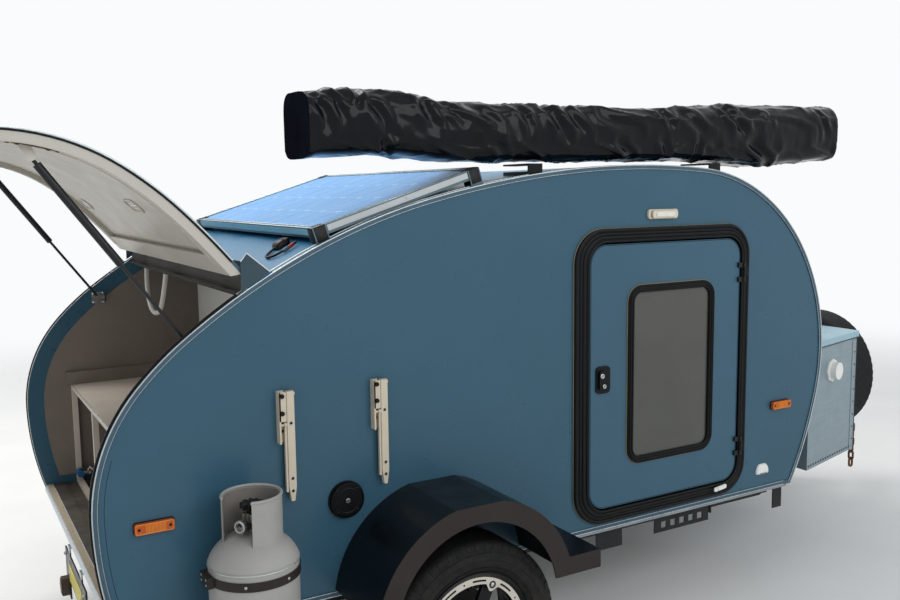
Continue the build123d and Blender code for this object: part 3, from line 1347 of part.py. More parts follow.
def make_jockey_tube():
    """The outer tube of the jockey wheel with its clamp and crank."""
    tube = rod_z(JOCKEY_X, JOCKEY_Y, JOCKEY_TUBE_R, JOCKEY_TUBE_BOTTOM_Z, JOCKEY_TOP_Z)
    collar = rod_z(JOCKEY_X, JOCKEY_Y, JOCKEY_TUBE_R + 9, -RAIL_H, 0)
    arm = block(JOCKEY_X - 26, JOCKEY_X + 26, drawbar_y(JOCKEY_X), JOCKEY_Y, -RAIL_H + 6, -6)
    arm = arm - rod_z(JOCKEY_X, JOCKEY_Y, JOCKEY_TUBE_R, -RAIL_H, 0)
    rail = tube_between(
        (DRAWBAR_REAR_X, DRAWBAR_REAR_Y, -RAIL_H / 2),
        (DRAWBAR_FRONT_X, DRAWBAR_FRONT_Y, -RAIL_H / 2),
        RAIL_W, RAIL_H + 20)
    arm = arm - rail
    r = CRANK_R
    crank = rod_z(JOCKEY_X, JOCKEY_Y, r, JOCKEY_TOP_Z - 1, JOCKEY_TOP_Z + 2 * r)
    lever = block(JOCKEY_X - r, JOCKEY_X + CRANK_REACH + r, JOCKEY_Y - r, JOCKEY_Y + r,
                  JOCKEY_TOP_Z + 2 * r - 1, JOCKEY_TOP_Z + 3 * r)
    grip = rod_z(JOCKEY_X + CRANK_REACH, JOCKEY_Y, CRANK_GRIP_R, JOCKEY_TOP_Z + 3 * r - 1,
                 JOCKEY_TOP_Z + 3 * r + CRANK_GRIP_L)
    foot = rod_z(JOCKEY_X, JOCKEY_Y, JOCKEY_SWIVEL_R, JOCKEY_TUBE_BOTTOM_Z - 30, JOCKEY_TUBE_BOTTOM_Z + 1)
    pin = rod_z(JOCKEY_X, JOCKEY_Y, 10, JOCKEY_TUBE_BOTTOM_Z - 30 - 22, JOCKEY_TUBE_BOTTOM_Z - 29)
    return join([tube, collar, arm, crank, lever, grip, foot, pin])


def drawbar_y(x):
    """How far the drawbar's centre line is from the centre plane at a distance x."""
    share = (x - DRAWBAR_REAR_X) / (DRAWBAR_FRONT_X - DRAWBAR_REAR_X)
    return DRAWBAR_REAR_Y + share * (DRAWBAR_FRONT_Y - DRAWBAR_REAR_Y)


JOCKEY_AXLE_Z = -GROUND_BELOW_BODY + JOCKEY_WHEEL_R
JOCKEY_HEAD_Z = JOCKEY_TUBE_BOTTOM_Z - 30


def make_jockey_fork():
    """The castoring fork with its axle pin."""
    top = JOCKEY_HEAD_Z - 1
    head = block(JOCKEY_X - JOCKEY_TRAIL - 26, JOCKEY_X + 28, JOCKEY_Y - JOCKEY_WHEEL_W / 2 - 10,
                 JOCKEY_Y + JOCKEY_WHEEL_W / 2 + 10, top - 12, top)
    head = head - rod_z(JOCKEY_X, JOCKEY_Y, 10 + HINGE_RUN, top - 13, top + 1)
    parts = [head]
    x = JOCKEY_X - JOCKEY_TRAIL
    for off in (-1, 1):
        y = JOCKEY_Y + off * (JOCKEY_WHEEL_W / 2 + 7)
        cheek = block(x - 24, x + 24, y - JOCKEY_FORK_T / 2, y + JOCKEY_FORK_T / 2, JOCKEY_AXLE_Z - 22, top - 11)
        parts.append(cheek)
    reach = JOCKEY_WHEEL_W / 2 + 14
    parts.append(rod_y(x, JOCKEY_AXLE_Z, 8, JOCKEY_Y - reach, JOCKEY_Y + reach))
    return join(parts)


def make_jockey_wheel():
    """The small solid wheel."""
    x = JOCKEY_X - JOCKEY_TRAIL
    half = JOCKEY_WHEEL_W / 2
    section = make_face([
        Line((8 + HINGE_RUN, -half), (40, -half)),
        Line((40, -half), (46, -half + 12)),
        Line((46, -half + 12), (76, -half + 12)),
        ThreePointArc((76, -half + 12), (94, -half + 16), (JOCKEY_WHEEL_R, -8)),
        Line((JOCKEY_WHEEL_R, -8), (JOCKEY_WHEEL_R, 8)),
        ThreePointArc((JOCKEY_WHEEL_R, 8), (94, half - 16), (76, half - 12)),
        Line((76, half - 12), (46, half - 12)),
        Line((46, half - 12), (40, half)),
        Line((40, half), (8 + HINGE_RUN, half)),
        Line((8 + HINGE_RUN, half), (8 + HINGE_RUN, -half)),
    ])
    wheel = revolve(Plane.XZ * section, Axis.Z)
    return Pos(bx(x), JOCKEY_Y, bz(JOCKEY_AXLE_Z)) * Rot(90, 0, 0) * wheel


def chain_link(length, width, wire):
    """One stadium-shaped link standing in the XZ plane."""
    outer = SlotOverall(length, width)
    inner = SlotOverall(length - 2 * wire, width - 2 * wire)
    return extrude(outer - inner, amount=wire / 2, both=True)


CHAIN_LINK_L = 48.0
CHAIN_LINK_W = 28.0
CHAIN_WIRE = 7.0
CHAIN_SLACK = 0.6
CHAIN_COUNT = 6
CHAIN_GAP = 3.0
CHAIN_INSET = 17.0
CHAIN_X = BOX_X1 + CHAIN_GAP + CHAIN_LINK_W / 2
CHAIN_Y = CHAIN_INSET - BOX_HALF_FRONT
CHAIN_TOP_Z = 95.0
CHAIN_HOOK_R = 4.0


def make_chain():
    """A short chain hanging at the front corner of the box, links turned by turns."""
    pitch = CHAIN_LINK_L - 2 * CHAIN_WIRE - CHAIN_SLACK
    flat = chain_link(CHAIN_LINK_L, CHAIN_LINK_W, CHAIN_WIRE)
    links = []
    for i in range(CHAIN_COUNT):
        upright = Rot(0, 0, 90 * (i % 2)) * Rot(0, 90, 0) * flat
        links.append(Pos(bx(CHAIN_X), CHAIN_Y, bz(CHAIN_TOP_Z - i * pitch)) * upright)
    hook_z = CHAIN_TOP_Z + CHAIN_LINK_L / 2 - CHAIN_WIRE - CHAIN_HOOK_R - CHAIN_SLACK / 2
    hook = rod_x(BOX_X1 + CORNER_PROUD, CHAIN_X + CHAIN_WIRE, CHAIN_Y, hook_z, CHAIN_HOOK_R)
    return links + [hook]


def make_rear_sill():
    """The floor's rear edge with a round bright edge, and the lamp carrier under it."""
    x = PROFILE_REAR_BOTTOM_X
    strip = block(x - SILL_BACK, x + SILL_REACH, -INNER, INNER, FLOOR_T, FLOOR_T + SILL_T)
    face = block(x - SILL_BACK, x + SILL_T, -INNER, INNER, 0, FLOOR_T)
    edge = rod_y(x - SILL_BACK, SILL_EDGE_Z, SILL_EDGE_R, -INNER, INNER)
    board = block(CARRIER_X - CARRIER_T, CARRIER_X, -CARRIER_HALF, CARRIER_HALF, CARRIER_LOW_Z, CARRIER_TOP_Z)
    parts = [board]
    for side in (-1, 1):
        y0, y1 = sided(side, CARRIER_HALF - CARRIER_TAB_W, CARRIER_HALF)
        parts.append(block(CARRIER_X - CARRIER_T, CARRIER_X, y0, y1, CARRIER_TAB_Z, CARRIER_LOW_Z + 1))
        y0, y1 = sided(side, HANGER_Y - HANGER_W / 2, HANGER_Y + HANGER_W / 2)
        upright = block(CARRIER_X - CARRIER_T, CARRIER_X, y0, y1, CARRIER_TOP_Z - 1, -CROSS_H / 2 + CARRIER_T)
        arm = block(CARRIER_X - CARRIER_T, RAIL_X0, y0, y1, -CROSS_H / 2, -CROSS_H / 2 + CARRIER_T)
        parts.append(upright)
        parts.append(arm)
    return [strip + face + edge, join(parts)]


def make_tail_lamps():
    """Six-sided rear lamp blocks on the ends of the lamp carrier."""
    lamps = []
    for side in (-1, 1):
        plane = Plane(origin=(bx(CARRIER_X - CARRIER_T), side * LAMP_Y, bz(LAMP_Z)), x_dir=(0, 1, 0), z_dir=(-1, 0, 0))
        lamps.append(extrude(plane * RegularPolygon(LAMP_R, 6), amount=LAMP_T))
    return lamps


def make_hose():
    """The hanging loop of hose under the hatch hinge."""
    points = [(bx(x), y, bz(z)) for x, y, z in HOSE_ROUTE]
    path = FilletPolyline(*points, radius=48)
    start = Plane(origin=path @ 0, z_dir=path % 0)
    return sweep(start * Circle(9.0), path=path) & side_slab(grown(-ROOF_T - 0.3), -INNER, INNER)


# The loop's route. Columns: x, y, z
HOSE_ROUTE = [
    (470.0, 640.0, 931.0),
    (462.0, 628.0, 850.0),
    (456.0, 560.0, 760.0),
    (452.0, 440.0, 735.0),
    (456.0, 330.0, 775.0),
    (470.0, 300.0, 931.0),
]


def make_inlet():
    """The round power inlet on the right side of the box."""
    slope = math.atan2(BOX_HALF_REAR - BOX_HALF_FRONT, BOX_X1 - BOX_X0)
    share = (INLET_X - BOX_X0) / (BOX_X1 - BOX_X0)
    y = -(BOX_HALF_REAR + share * (BOX_HALF_FRONT - BOX_HALF_REAR))
    direction = (math.sin(slope), -math.cos(slope), 0)
    plane = Plane(origin=(bx(INLET_X), y, bz(INLET_Z)), z_dir=direction)
    body = extrude(plane * Circle(INLET_R), amount=INLET_L)
    plate = extrude(plane * RegularPolygon(INLET_R + 14, 8), amount=6)
    return body + plate


def make_filler_cap():
    """The locking filler cap on the right wall."""
    cap = rod_y(CAP_X, CAP_Z, CAP_R, -HALF - 6, -HALF)
    lid = rod_y(CAP_X, CAP_Z, CAP_R - 10, -HALF - CAP_PROUD, -HALF - 5)
    return cap + lid


os.makedirs("parts", exist_ok=True)

SIDES = [("right", -1), ("left", 1)]
for word, side in SIDES:
    save("wall_" + word, *make_wall(side))
    save("rim_" + word, at_wheel(rim_shape(SPINDLE_R + SPINDLE_RUN), side))
    save("tyre_" + word, at_wheel(tyre_shape(), side))
    save("door_leaf_" + word, make_door_leaf(side))
    save("door_fittings_" + word, *make_door_fittings(side))
    save("door_glass_" + word, make_pane(side))
    save("strut_tube_" + word, make_strut_tube(side))
    save("strut_rod_" + word, make_strut_rod(side))
for word, pivot_x, side, way in LEGS:
    save("leg_" + word, make_leg(pivot_x, side, way))
for number, x in enumerate(ARM_X, start=1):
    save("table_arm_" + str(number), make_table_arm(x))
    save("table_brace_" + str(number), make_table_brace(x))
save("edge_trims", *make_edge_trims())
save("roof_shell", make_roof_shell())
save("floor", make_floor())
save("bulkhead", make_bulkhead())
save("galley_linings", *make_linings())
save("galley_bench", make_bench())
save("hatch_skin", opened(make_hatch_skin()))
save("hatch_liner", opened(make_hatch_liner()))
save("door_frames", make_door_frame(-1), make_door_frame(1))
save("chassis", make_chassis())
save("coupling", make_coupling())
save("axle", make_axle())
save("leaf_springs", *make_springs())
save("fenders", make_fender(-1), make_fender(1))
save("storage_box", make_storage_box())
save("box_lid", make_box_lid())
save("power_inlet", make_inlet())
save("spare_rim", at_spare(rim_shape(SPINDLE_R)))
save("spare_tyre", at_spare(tyre_shape()))
save("chain", *make_chain())
save("awning_bag", make_bag())
save("awning_brackets", *make_brackets())
save("solar_panel", make_solar())
save("solar_cable", *make_solar_cable())
save("gas_bottle", make_bottle())
save("bottle_bracket", make_bottle_bracket())
save("filler_cap", make_filler_cap())
save("lamps", *make_lamps())
save("table_plates", *[make_table_plate(x) for x in ARM_X])
save("jockey_tube", make_jockey_tube())
save("jockey_fork", make_jockey_fork())
save("jockey_wheel", make_jockey_wheel())
save("rear_sill", *make_rear_sill())
save("tail_lamps", *make_tail_lamps())
save("hose_loop", make_hose())
print("hinge height", HINGE_Z, "open pin", STRUT_HATCH_PIN, "strut length", STRUT_LENGTH, "closed", STRUT_CLOSED)
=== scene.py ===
from math import atan2, copysign, cos, dist, exp, hypot, pi, radians, sin, sqrt, tau

import bmesh
import bpy
from mathutils import Matrix, Vector, noise


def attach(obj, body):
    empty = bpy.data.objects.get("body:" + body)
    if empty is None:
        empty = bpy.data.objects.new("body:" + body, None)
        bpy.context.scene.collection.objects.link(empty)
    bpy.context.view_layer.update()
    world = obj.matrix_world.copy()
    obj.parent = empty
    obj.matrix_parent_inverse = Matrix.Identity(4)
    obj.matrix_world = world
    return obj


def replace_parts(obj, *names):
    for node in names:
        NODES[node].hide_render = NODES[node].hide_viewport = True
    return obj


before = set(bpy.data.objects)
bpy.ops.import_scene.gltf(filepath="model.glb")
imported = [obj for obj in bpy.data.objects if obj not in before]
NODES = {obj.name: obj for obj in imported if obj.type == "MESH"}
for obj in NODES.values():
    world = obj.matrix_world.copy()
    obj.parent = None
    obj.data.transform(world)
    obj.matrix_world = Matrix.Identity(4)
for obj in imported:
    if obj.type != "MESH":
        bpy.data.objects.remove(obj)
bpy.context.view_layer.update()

WORDS = ((-1, "right"), (1, "left"))
SIDES = (-1, 1)

# The body is measured in millimetres from its rearmost point and its bottom edge
REAR_TO_BALL = 4100
BOTTOM_ABOVE_BALL = 10
GROUND_Z = -0.415
HATCH_TURN = radians(82)
HINGE = (432, 988.306)
OUTLINE_JOINTS = [(0, 360), (128, 699), (260, 822), (1016, 1183), (2164, 1277), (2577, 1115), (2833, 370), (2690, 0)]
OUTLINE_REAR_BOTTOM = (57, 0)
OUTLINE_STEP = 26
WHEEL_X, WHEEL_Y, WHEEL_Z = 1034, 917, -132
BOTTLE_X, BOTTLE_Y = 381, -921
TABLE_XS = (541, 837)
PLATE_HOLE_ZS = (556, 531)
# Distances from the centre plane: just outside the walls, and the faces of the table supports' plates and arms
WALL_FACE, PLATE_FACE, ARM_FACE = 780.2, -785, -806
# Door frame's hole and outer edge, and the window's ring: x from and to, z from and to, corner radius
DOOR_HOLE = (1631, 2367, 71, 1022, 76)
DOOR_EDGE = (1569, 2404, 27, 1070, 118)
WINDOW = (1805, 2223, 220, 867, 60)
PANEL_TILT = radians(17.4)
PANEL_L, PANEL_W = 588, 1244


def at(x, y, z):
    """A point of the body, in metres in the shared frame."""
    return Vector(((x - REAR_TO_BALL) / 1000, y / 1000, (z + BOTTOM_ABOVE_BALL) / 1000))


def srgb(r, g, b):
    """A screen colour from 0 to 255 as the linear colour that shaders take."""
    parts = [v / 255 for v in (r, g, b)]
    return tuple(v / 12.92 if v <= 0.04045 else ((v + 0.055) / 1.055) ** 2.4 for v in parts) + (1.0,)


def tinted(colour, factor):
    """The colour made lighter or darker."""
    return tuple(min(1.0, c * factor) for c in colour[:3]) + (1.0,)


# Materials

class Shader:
    """A material's node tree with short calls for its usual nodes."""

    def __init__(self, name):
        self.mat = bpy.data.materials.new(name)
        self.mat.use_nodes = True
        self.tree = self.mat.node_tree
        self.tree.nodes.clear()
        self.out = self.node("OutputMaterial")
        self.bsdf = self.node("BsdfPrincipled")
        self.put(self.bsdf.outputs[0], self.out.inputs["Surface"])
        self.coords = self.node("TexCoord").outputs["Object"]

    def put(self, value, socket):
        """Link a socket to an input, or set the input to a value."""
        if isinstance(value, bpy.types.NodeSocket):
            self.tree.links.new(value, socket)
        else:
            socket.default_value = value

    def node(self, kind, inputs=None, **settings):
        """A node with its settings and inputs."""
        n = self.tree.nodes.new("ShaderNode" + kind)
        for key, value in settings.items():
            setattr(n, key, value)
        for key, value in (inputs or {}).items():
            self.put(value, n.inputs[key])
        return n

    def noise(self, scale, detail=4.0, rough=0.6, stretch=None):
        """Fractal noise, from 0 to 1."""
        source = self.coords
        if stretch:
            source = self.node("Mapping", {"Scale": stretch, "Vector": source}).outputs[0]
        inputs = {"Scale": scale, "Detail": detail, "Roughness": rough, "Vector": source}
        return self.node("TexNoise", inputs).outputs["Fac"]

    def ramp(self, fac, stops, kind="LINEAR"):
        """Colours along a value, from stops of (place, colour)."""
        n = self.node("ValToRGB", {"Fac": fac})
        ramp = n.color_ramp
        ramp.interpolation = kind
        for element, (place, colour) in zip(ramp.elements, (stops[0], stops[-1])):
            element.position = place
            element.color = colour
        for place, colour in stops[1:-1]:
            ramp.elements.new(place).color = colour
        return n.outputs["Color"]

    def span(self, value, a, b, c, d):
        """The range a to b of a value, mapped onto c to d."""
        inputs = {"From Min": a, "From Max": b, "To Min": c, "To Max": d, "Value": value}
        return self.node("MapRange", inputs).outputs["Result"]

    def math(self, kind, a, b=None):
        """One step of arithmetic."""
        return self.node("Math", {0: a} if b is None else {0: a, 1: b}, operation=kind).outputs[0]

    def mix(self, fac, a, b, kind="MIX"):
        """Two colours blended by a factor."""
        n = self.node("Mix", {"Factor": fac}, data_type="RGBA", blend_type=kind)
        for value, socket in zip((a, b), [s for s in n.inputs if s.type == "RGBA"]):
            self.put(value, socket)
        return [s for s in n.outputs if s.type == "RGBA"][0]

    def axis(self, which):
        """One of the coordinates X, Y and Z."""
        return self.node("SeparateXYZ", {0: self.coords}).outputs[which]

    def away(self):
        """Distance from the centre plane."""
        return self.math("ABSOLUTE", self.axis("Y"))

    def bump(self, height, strength, distance, normal=None):
        """A normal that follows a height."""
        inputs = {"Strength": strength, "Distance": distance, "Height": height}
        if normal is not None:
            inputs["Normal"] = normal
        return self.node("Bump", inputs).outputs["Normal"]

    def done(self, **inputs):
        """Fill the shader's inputs, whose names are given with underscores, and hand back the material."""
        for key, value in inputs.items():
            self.put(value, self.bsdf.inputs[key.replace("_", " ")])
        return self.mat


def surface(name, colour, spread, scale, rough, rough_span, grain, grain_depth, grain_strength, metallic=0.0,
            coat=0.0, specular=0.26, stretch=None, dust=0.0, dust_colour=(0.35, 0.31, 0.25, 1.0), dust_top=0.35,
            transmission=0.0, wave=0.0):
    """A plain surface with broad colour changes, changing gloss, fine grain and dust towards the ground."""
    s = Shader(name)
    col = s.ramp(s.noise(scale, 5, 0.6, stretch),
                 [(0.30, tinted(colour, 1 - spread)), (0.52, colour), (0.72, tinted(colour, 1 + spread))])
    if dust > 0:
        height = s.span(s.axis("Z"), GROUND_Z, dust_top, 1, 0)
        patch = s.ramp(s.noise(scale * 2.3, 6, 0.7), [(0.35, (0, 0, 0, 1)), (0.75, (1, 1, 1, 1))])
        col = s.mix(s.math("MULTIPLY", s.math("MULTIPLY", height, patch), dust), col, dust_colour)
    gloss = s.span(s.noise(scale * 3.1, 4, 0.65), 0.3, 0.7, max(0.02, rough - rough_span), min(1, rough + rough_span))
    normal = s.bump(s.noise(grain, 3, 0.6, stretch), grain_strength, grain_depth)
    if wave > 0:
        normal = s.bump(s.noise(3.2, 2, 0.5), wave, 0.006, normal)
    return s.done(Base_Color=col, Roughness=gloss, Normal=normal, Metallic=metallic, Specular_IOR_Level=specular,
                  Coat_Weight=coat, Transmission_Weight=transmission)


def placed(name, first, second, test, rough=(0.4, 0.4), metallic=(0.0, 0.0), scale=14.0, spread=0.12, coat=0.0,
           grain_strength=0.15):
    """Two looks on one node. test(shader) gives 0 for the first and 1 for the second."""
    s = Shader(name)
    tone = s.noise(scale, 5, 0.6)
    a, b = (s.ramp(tone, [(0.3, tinted(srgb(*c), 1 - spread)), (0.7, tinted(srgb(*c), 1 + spread))])
            for c in (first, second))
    where = test(s)
    gloss = s.span(s.noise(scale * 3, 4, 0.6), 0.3, 0.7, -0.08, 0.08)
    return s.done(Base_Color=s.mix(where, a, b), Roughness=s.math("ADD", s.span(where, 0, 1, *rough), gloss),
                  Metallic=s.span(where, 0, 1, *metallic), Coat_Weight=coat, Specular_IOR_Level=0.26,
                  Normal=s.bump(s.noise(420, 3, 0.6), grain_strength, 0.0002))


def rim_test(s):
    """1 on the machined ring's flat face, which is at one distance from the centre plane."""
    away, hub = s.away(), WHEEL_Y / 1000
    return s.math("MULTIPLY", s.math("GREATER_THAN", away, hub + 0.0726), s.math("LESS_THAN", away, hub + 0.0734))


def leaf_test(s):
    """1 on the hinges that stand out from the door panel."""
    return s.math("GREATER_THAN", s.away(), 0.7866)


def neck_test(s):
    """1 on the valve over the bottle's shoulder."""
    x = s.math("ADD", s.axis("X"), (REAR_TO_BALL - BOTTLE_X) / 1000)
    y = s.math("ADD", s.axis("Y"), -BOTTLE_Y / 1000)
    r2 = s.math("ADD", s.math("MULTIPLY", x, x), s.math("MULTIPLY", y, y))
    return s.math("MULTIPLY", s.math("LESS_THAN", r2, 0.058 * 0.058), s.math("GREATER_THAN", s.axis("Z"), 0.3185))


def ledge_test(s):
    """1 on the light ledges under the walls."""
    return s.math("MULTIPLY", s.math("GREATER_THAN", s.away(), 0.7395), s.math("GREATER_THAN", s.axis("Z"), -0.0035))


def lip_test(s):
    """1 on the fenders' outer faces."""
    return s.math("GREATER_THAN", s.away(), 1.0685)


def lamp_test(s):
    """1 on the white lamps over the doors."""
    return s.math("GREATER_THAN", s.axis("Z"), 0.9)


def hinge_shade_test(s):
    """1 on the rear face of the hinge piece across the roof, whose dark tone is painted shade where the hatch meets
    the roof.
    """
    return s.math("LESS_THAN", s.axis("X"), -3.659)


def sill_look(name):
    """Dark lamp carrier, bright edge and cream top of the rear sill, told apart by height."""
    s = Shader(name)
    where = s.span(s.axis("Z"), -0.24, 0.06, 0, 1)
    tones = [(0.0, srgb(26, 27, 29)), (0.70, srgb(190, 196, 200)), (0.925, srgb(198, 184, 160))]
    shine = [(0.0, (0.2, 0.2, 0.2, 1)), (0.70, (0.9, 0.9, 0.9, 1)), (0.925, (0, 0, 0, 1))]
    tone = s.ramp(s.noise(12, 5, 0.6), [(0.3, (0.86, 0.86, 0.86, 1)), (0.7, (1, 1, 1, 1))])
    return s.done(Base_Color=s.mix(1.0, s.ramp(where, tones, "CONSTANT"), tone, "MULTIPLY"),
                  Metallic=s.ramp(where, shine, "CONSTANT"), Roughness=s.span(s.noise(40), 0.3, 0.7, 0.24, 0.44),
                  Specular_IOR_Level=0.26, Normal=s.bump(s.noise(420, 3, 0.6), 0.15, 0.0002))


# The walls and the hatch skin carry the blue paint's tone in shade: painted shade. The roof's paint further down is a
# lighter tone of the same paint.
TEAL_IN_SHADE = (52, 88, 107)
# Columns: name, colour, its spread, noise scale, roughness, its span, grain's scale, its depth in metres, its
# strength, the rest
SURFACES = [
    ("teal_paint", TEAL_IN_SHADE, 0.05, 2.2, 0.3, 0.05, 420, 0.0001, 0.05,
     dict(coat=0.05, dust=0.25, dust_top=0.1, dust_colour=srgb(112, 118, 116), wave=0.05)),
    ("rubber_black", (8, 9, 11), 0.25, 14, 0.42, 0.1, 700, 0.0002, 0.2, dict(dust=0.06, dust_top=0.2, specular=0.16)),
    ("bright_edge", (186, 194, 196), 0.1, 16, 0.3, 0.1, 300, 0.0002, 0.15, dict(metallic=0.75)),
    ("hatch_liner", (192, 187, 177), 0.05, 3, 0.4, 0.1, 240, 0.0003, 0.2, {}),
    ("hatch_skin", TEAL_IN_SHADE, 0.06, 3, 0.32, 0.06, 400, 0.0001, 0.1, dict(coat=0.06)),
    ("galley_lining", (118, 108, 100), 0.09, 5, 0.72, 0.08, 900, 0.0006, 0.45, dict(specular=0.3)),
    ("bench_white", (200, 190, 178), 0.05, 6, 0.42, 0.1, 300, 0.0003, 0.2, dict(dust=0.1, dust_top=0.6)),
    ("floor_board", (62, 57, 52), 0.16, 4, 0.62, 0.12, 120, 0.0006, 0.35,
     dict(stretch=(1, 6, 1), dust=0.35, dust_top=0.8)),
    ("bulkhead_white", (222, 219, 212), 0.04, 5, 0.5, 0.1, 400, 0.0002, 0.2, {}),
    ("satin_black_metal", (27, 29, 32), 0.18, 9, 0.4, 0.1, 500, 0.0002, 0.3, dict(dust=0.25, dust_top=0.1)),
    ("chassis_black", (30, 30, 31), 0.22, 8, 0.52, 0.15, 260, 0.0005, 0.4,
     dict(dust=0.6, dust_top=0.15, dust_colour=srgb(104, 92, 76))),
    ("zinc_steel", (168, 170, 170), 0.18, 22, 0.38, 0.14, 200, 0.0003, 0.25,
     dict(metallic=0.85, dust=0.2, dust_top=0.1)),
    ("bright_steel", (196, 198, 200), 0.08, 26, 0.22, 0.08, 300, 0.0001, 0.1, dict(metallic=0.95)),
    ("chrome", (206, 208, 212), 0.06, 14, 0.12, 0.06, 200, 0.0001, 0.08, dict(metallic=1)),
    ("cream_steel", (204, 192, 172), 0.06, 18, 0.42, 0.1, 300, 0.0003, 0.25, {}),
    ("black_plastic", (9, 10, 12), 0.2, 30, 0.38, 0.1, 1400, 0.0003, 0.3, dict(specular=0.18)),
    ("white_plastic", (226, 226, 222), 0.04, 16, 0.36, 0.1, 900, 0.0002, 0.2, {}),
    ("box_sheet", (134, 150, 158), 0.06, 5, 0.42, 0.1, 90, 0.0002, 0.25,
     dict(metallic=0.35, stretch=(1, 1, 14), dust=0.25, dust_top=0.25)),
    ("lid_sheet", (148, 182, 196), 0.05, 5, 0.36, 0.08, 200, 0.0002, 0.2, dict(metallic=0.2)),
    ("tyre_rubber", (22, 23, 25), 0.2, 20, 0.74, 0.1, 600, 0.0004, 0.4,
     dict(specular=0.2, dust=0.55, dust_top=0.25, dust_colour=srgb(96, 88, 76))),
    ("black_alloy", (20, 20, 22), 0.2, 18, 0.35, 0.1, 300, 0.0002, 0.2, dict(dust=0.2, dust_top=0.1)),
    ("cable_black", (18, 18, 19), 0.15, 40, 0.45, 0.1, 900, 0.0002, 0.3, {}),
    ("hose_white", (214, 210, 202), 0.05, 30, 0.4, 0.1, 260, 0.0004, 0.3, {}),
    ("red_plug", (176, 34, 30), 0.1, 40, 0.35, 0.08, 160, 0.0004, 0.25, {}),
    ("blue_tap", (40, 96, 150), 0.1, 40, 0.35, 0.08, 160, 0.0004, 0.25, {}),
    # Dark ragged strip at the hinge: partly a seal, partly painted shade of the hinge gap
    ("foam_dark", (66, 64, 61), 0.55, 34, 0.9, 0.05, 260, 0.002, 0.8, dict(specular=0.2)),
    ("bag_vinyl", (7, 9, 14), 0.25, 7, 0.16, 0.06, 900, 0.0002, 0.1, dict(specular=0.16)),
    # The bag's ends: the same vinyl without gloss, so they read dark: painted shade
    ("bag_vinyl_end", (20, 22, 29), 0.25, 9, 0.62, 0.07, 900, 0.0002, 0.1, dict(specular=0)),
    ("trim_line", (70, 92, 106), 0.1, 16, 0.34, 0.1, 300, 0.0002, 0.15, dict(metallic=0.35)),
    ("tan_line", (128, 120, 92), 0.15, 16, 0.4, 0.1, 300, 0.0002, 0.15, {}),
    ("lamp_dark", (74, 62, 52), 0.12, 30, 0.3, 0.08, 500, 0.0002, 0.2, {}),
    ("door_lamp_lens", (224, 220, 208), 0.06, 50, 0.2, 0.06, 900, 0.0003, 0.3, dict(coat=0.4)),
    ("plate_yellow", (206, 190, 60), 0.08, 20, 0.4, 0.08, 500, 0.0002, 0.2, dict(dust=0.3, dust_top=0.1)),
    ("rusty_steel", (104, 74, 52), 0.3, 60, 0.7, 0.12, 700, 0.0005, 0.5, dict(metallic=0.3)),
    ("tinted_pane", (84, 84, 78), 0.08, 4, 0.18, 0.05, 60, 0.0003, 0.06,
     dict(transmission=0.2, coat=0.1, specular=0.35)),
    ("lens_amber", (222, 132, 34), 0.1, 60, 0.22, 0.05, 900, 0.0002, 0.2, dict(coat=0.15)),
    # The cells' light blue is a painted reflection of the sky. The grid lines are real, but their blue-white tint is
    # painted reflection; both barely gloss
    ("solar_cell", (112, 166, 220), 0.07, 3, 0.34, 0.06, 700, 0.0001, 0.08, dict(specular=0.05)),
    ("cell_line", (168, 204, 238), 0.05, 8, 0.4, 0.06, 700, 0.0001, 0.08, dict(specular=0.08)),
    ("fairing_paint", (52, 72, 82), 0.06, 8, 0.4, 0.08, 400, 0.0001, 0.12, {}),
    ("panel_silver", (176, 180, 182), 0.06, 10, 0.34, 0.08, 400, 0.0001, 0.1, dict(metallic=0.6)),
    ("panel_frame", (92, 112, 118), 0.08, 14, 0.34, 0.08, 400, 0.0001, 0.15, dict(metallic=0.4)),
    # The panel's rear strip: its light blue is a painted reflection of the sky, with little gloss
    ("panel_side", (150, 200, 214), 0.05, 10, 0.4, 0.06, 400, 0.0001, 0.06, dict(specular=0.15)),
    ("strap_brown_black", (38, 33, 29), 0.2, 24, 0.5, 0.1, 700, 0.0003, 0.3, {}),
    # Inside of the bottle's collar: painted shade in its hollow
    ("collar_inside", (124, 119, 114), 0.12, 18, 0.5, 0.1, 400, 0.0003, 0.3, {}),
    ("rear_lamp_face", (118, 70, 44), 0.15, 60, 0.28, 0.08, 900, 0.0003, 0.25, dict(coat=0.2)),
]
# Columns: name, first colour, second colour, test for the second, the rest
PLACED = [
    ("alloy_black_and_machined", (13, 13, 14), (216, 208, 196), rim_test,
     dict(rough=(0.38, 0.30), metallic=(0.1, 0.75))),
    # The doors carry the blue paint's tone in shade too: painted shade
    ("door_paint", (55, 90, 109), (14, 15, 17), leaf_test, dict(rough=(0.34, 0.4), scale=2.4, spread=0.06, coat=0.06)),
    ("bottle_and_valve", (158, 156, 152), (112, 108, 100), neck_test,
     dict(rough=(0.44, 0.34), metallic=(0.0, 0.7), scale=6, spread=0.07)),
    ("lamp_lenses", (186, 84, 18), (206, 198, 182), lamp_test, dict(rough=(0.22, 0.34), scale=40, coat=0.15)),
    ("chassis_and_ledge", (30, 30, 31), (146, 152, 156), ledge_test,
     dict(rough=(0.55, 0.35), metallic=(0.0, 0.5), scale=8, spread=0.2, grain_strength=0.35)),
    # The hinge piece's rear face is dark grey-brown: painted shade where the hatch meets the roof
    ("roof_paint_and_hinge_shade", (44, 112, 150), (58, 56, 54), hinge_shade_test,
     dict(rough=(0.36, 0.8), scale=3, spread=0.07, grain_strength=0.1)),
    ("fender_black_and_lip", (7, 12, 18), (38, 32, 29), lip_test, dict(rough=(0.36, 0.5), scale=5, spread=0.18)),
]
M = {"sill_dark_bright_cream": sill_look("sill_dark_bright_cream")}
for name, colour, *numbers, rest in SURFACES:
    M[name] = surface(name, srgb(*colour), *numbers, **rest)
for name, first, second, test, rest in PLACED:
    M[name] = placed(name, first, second, test, **rest)

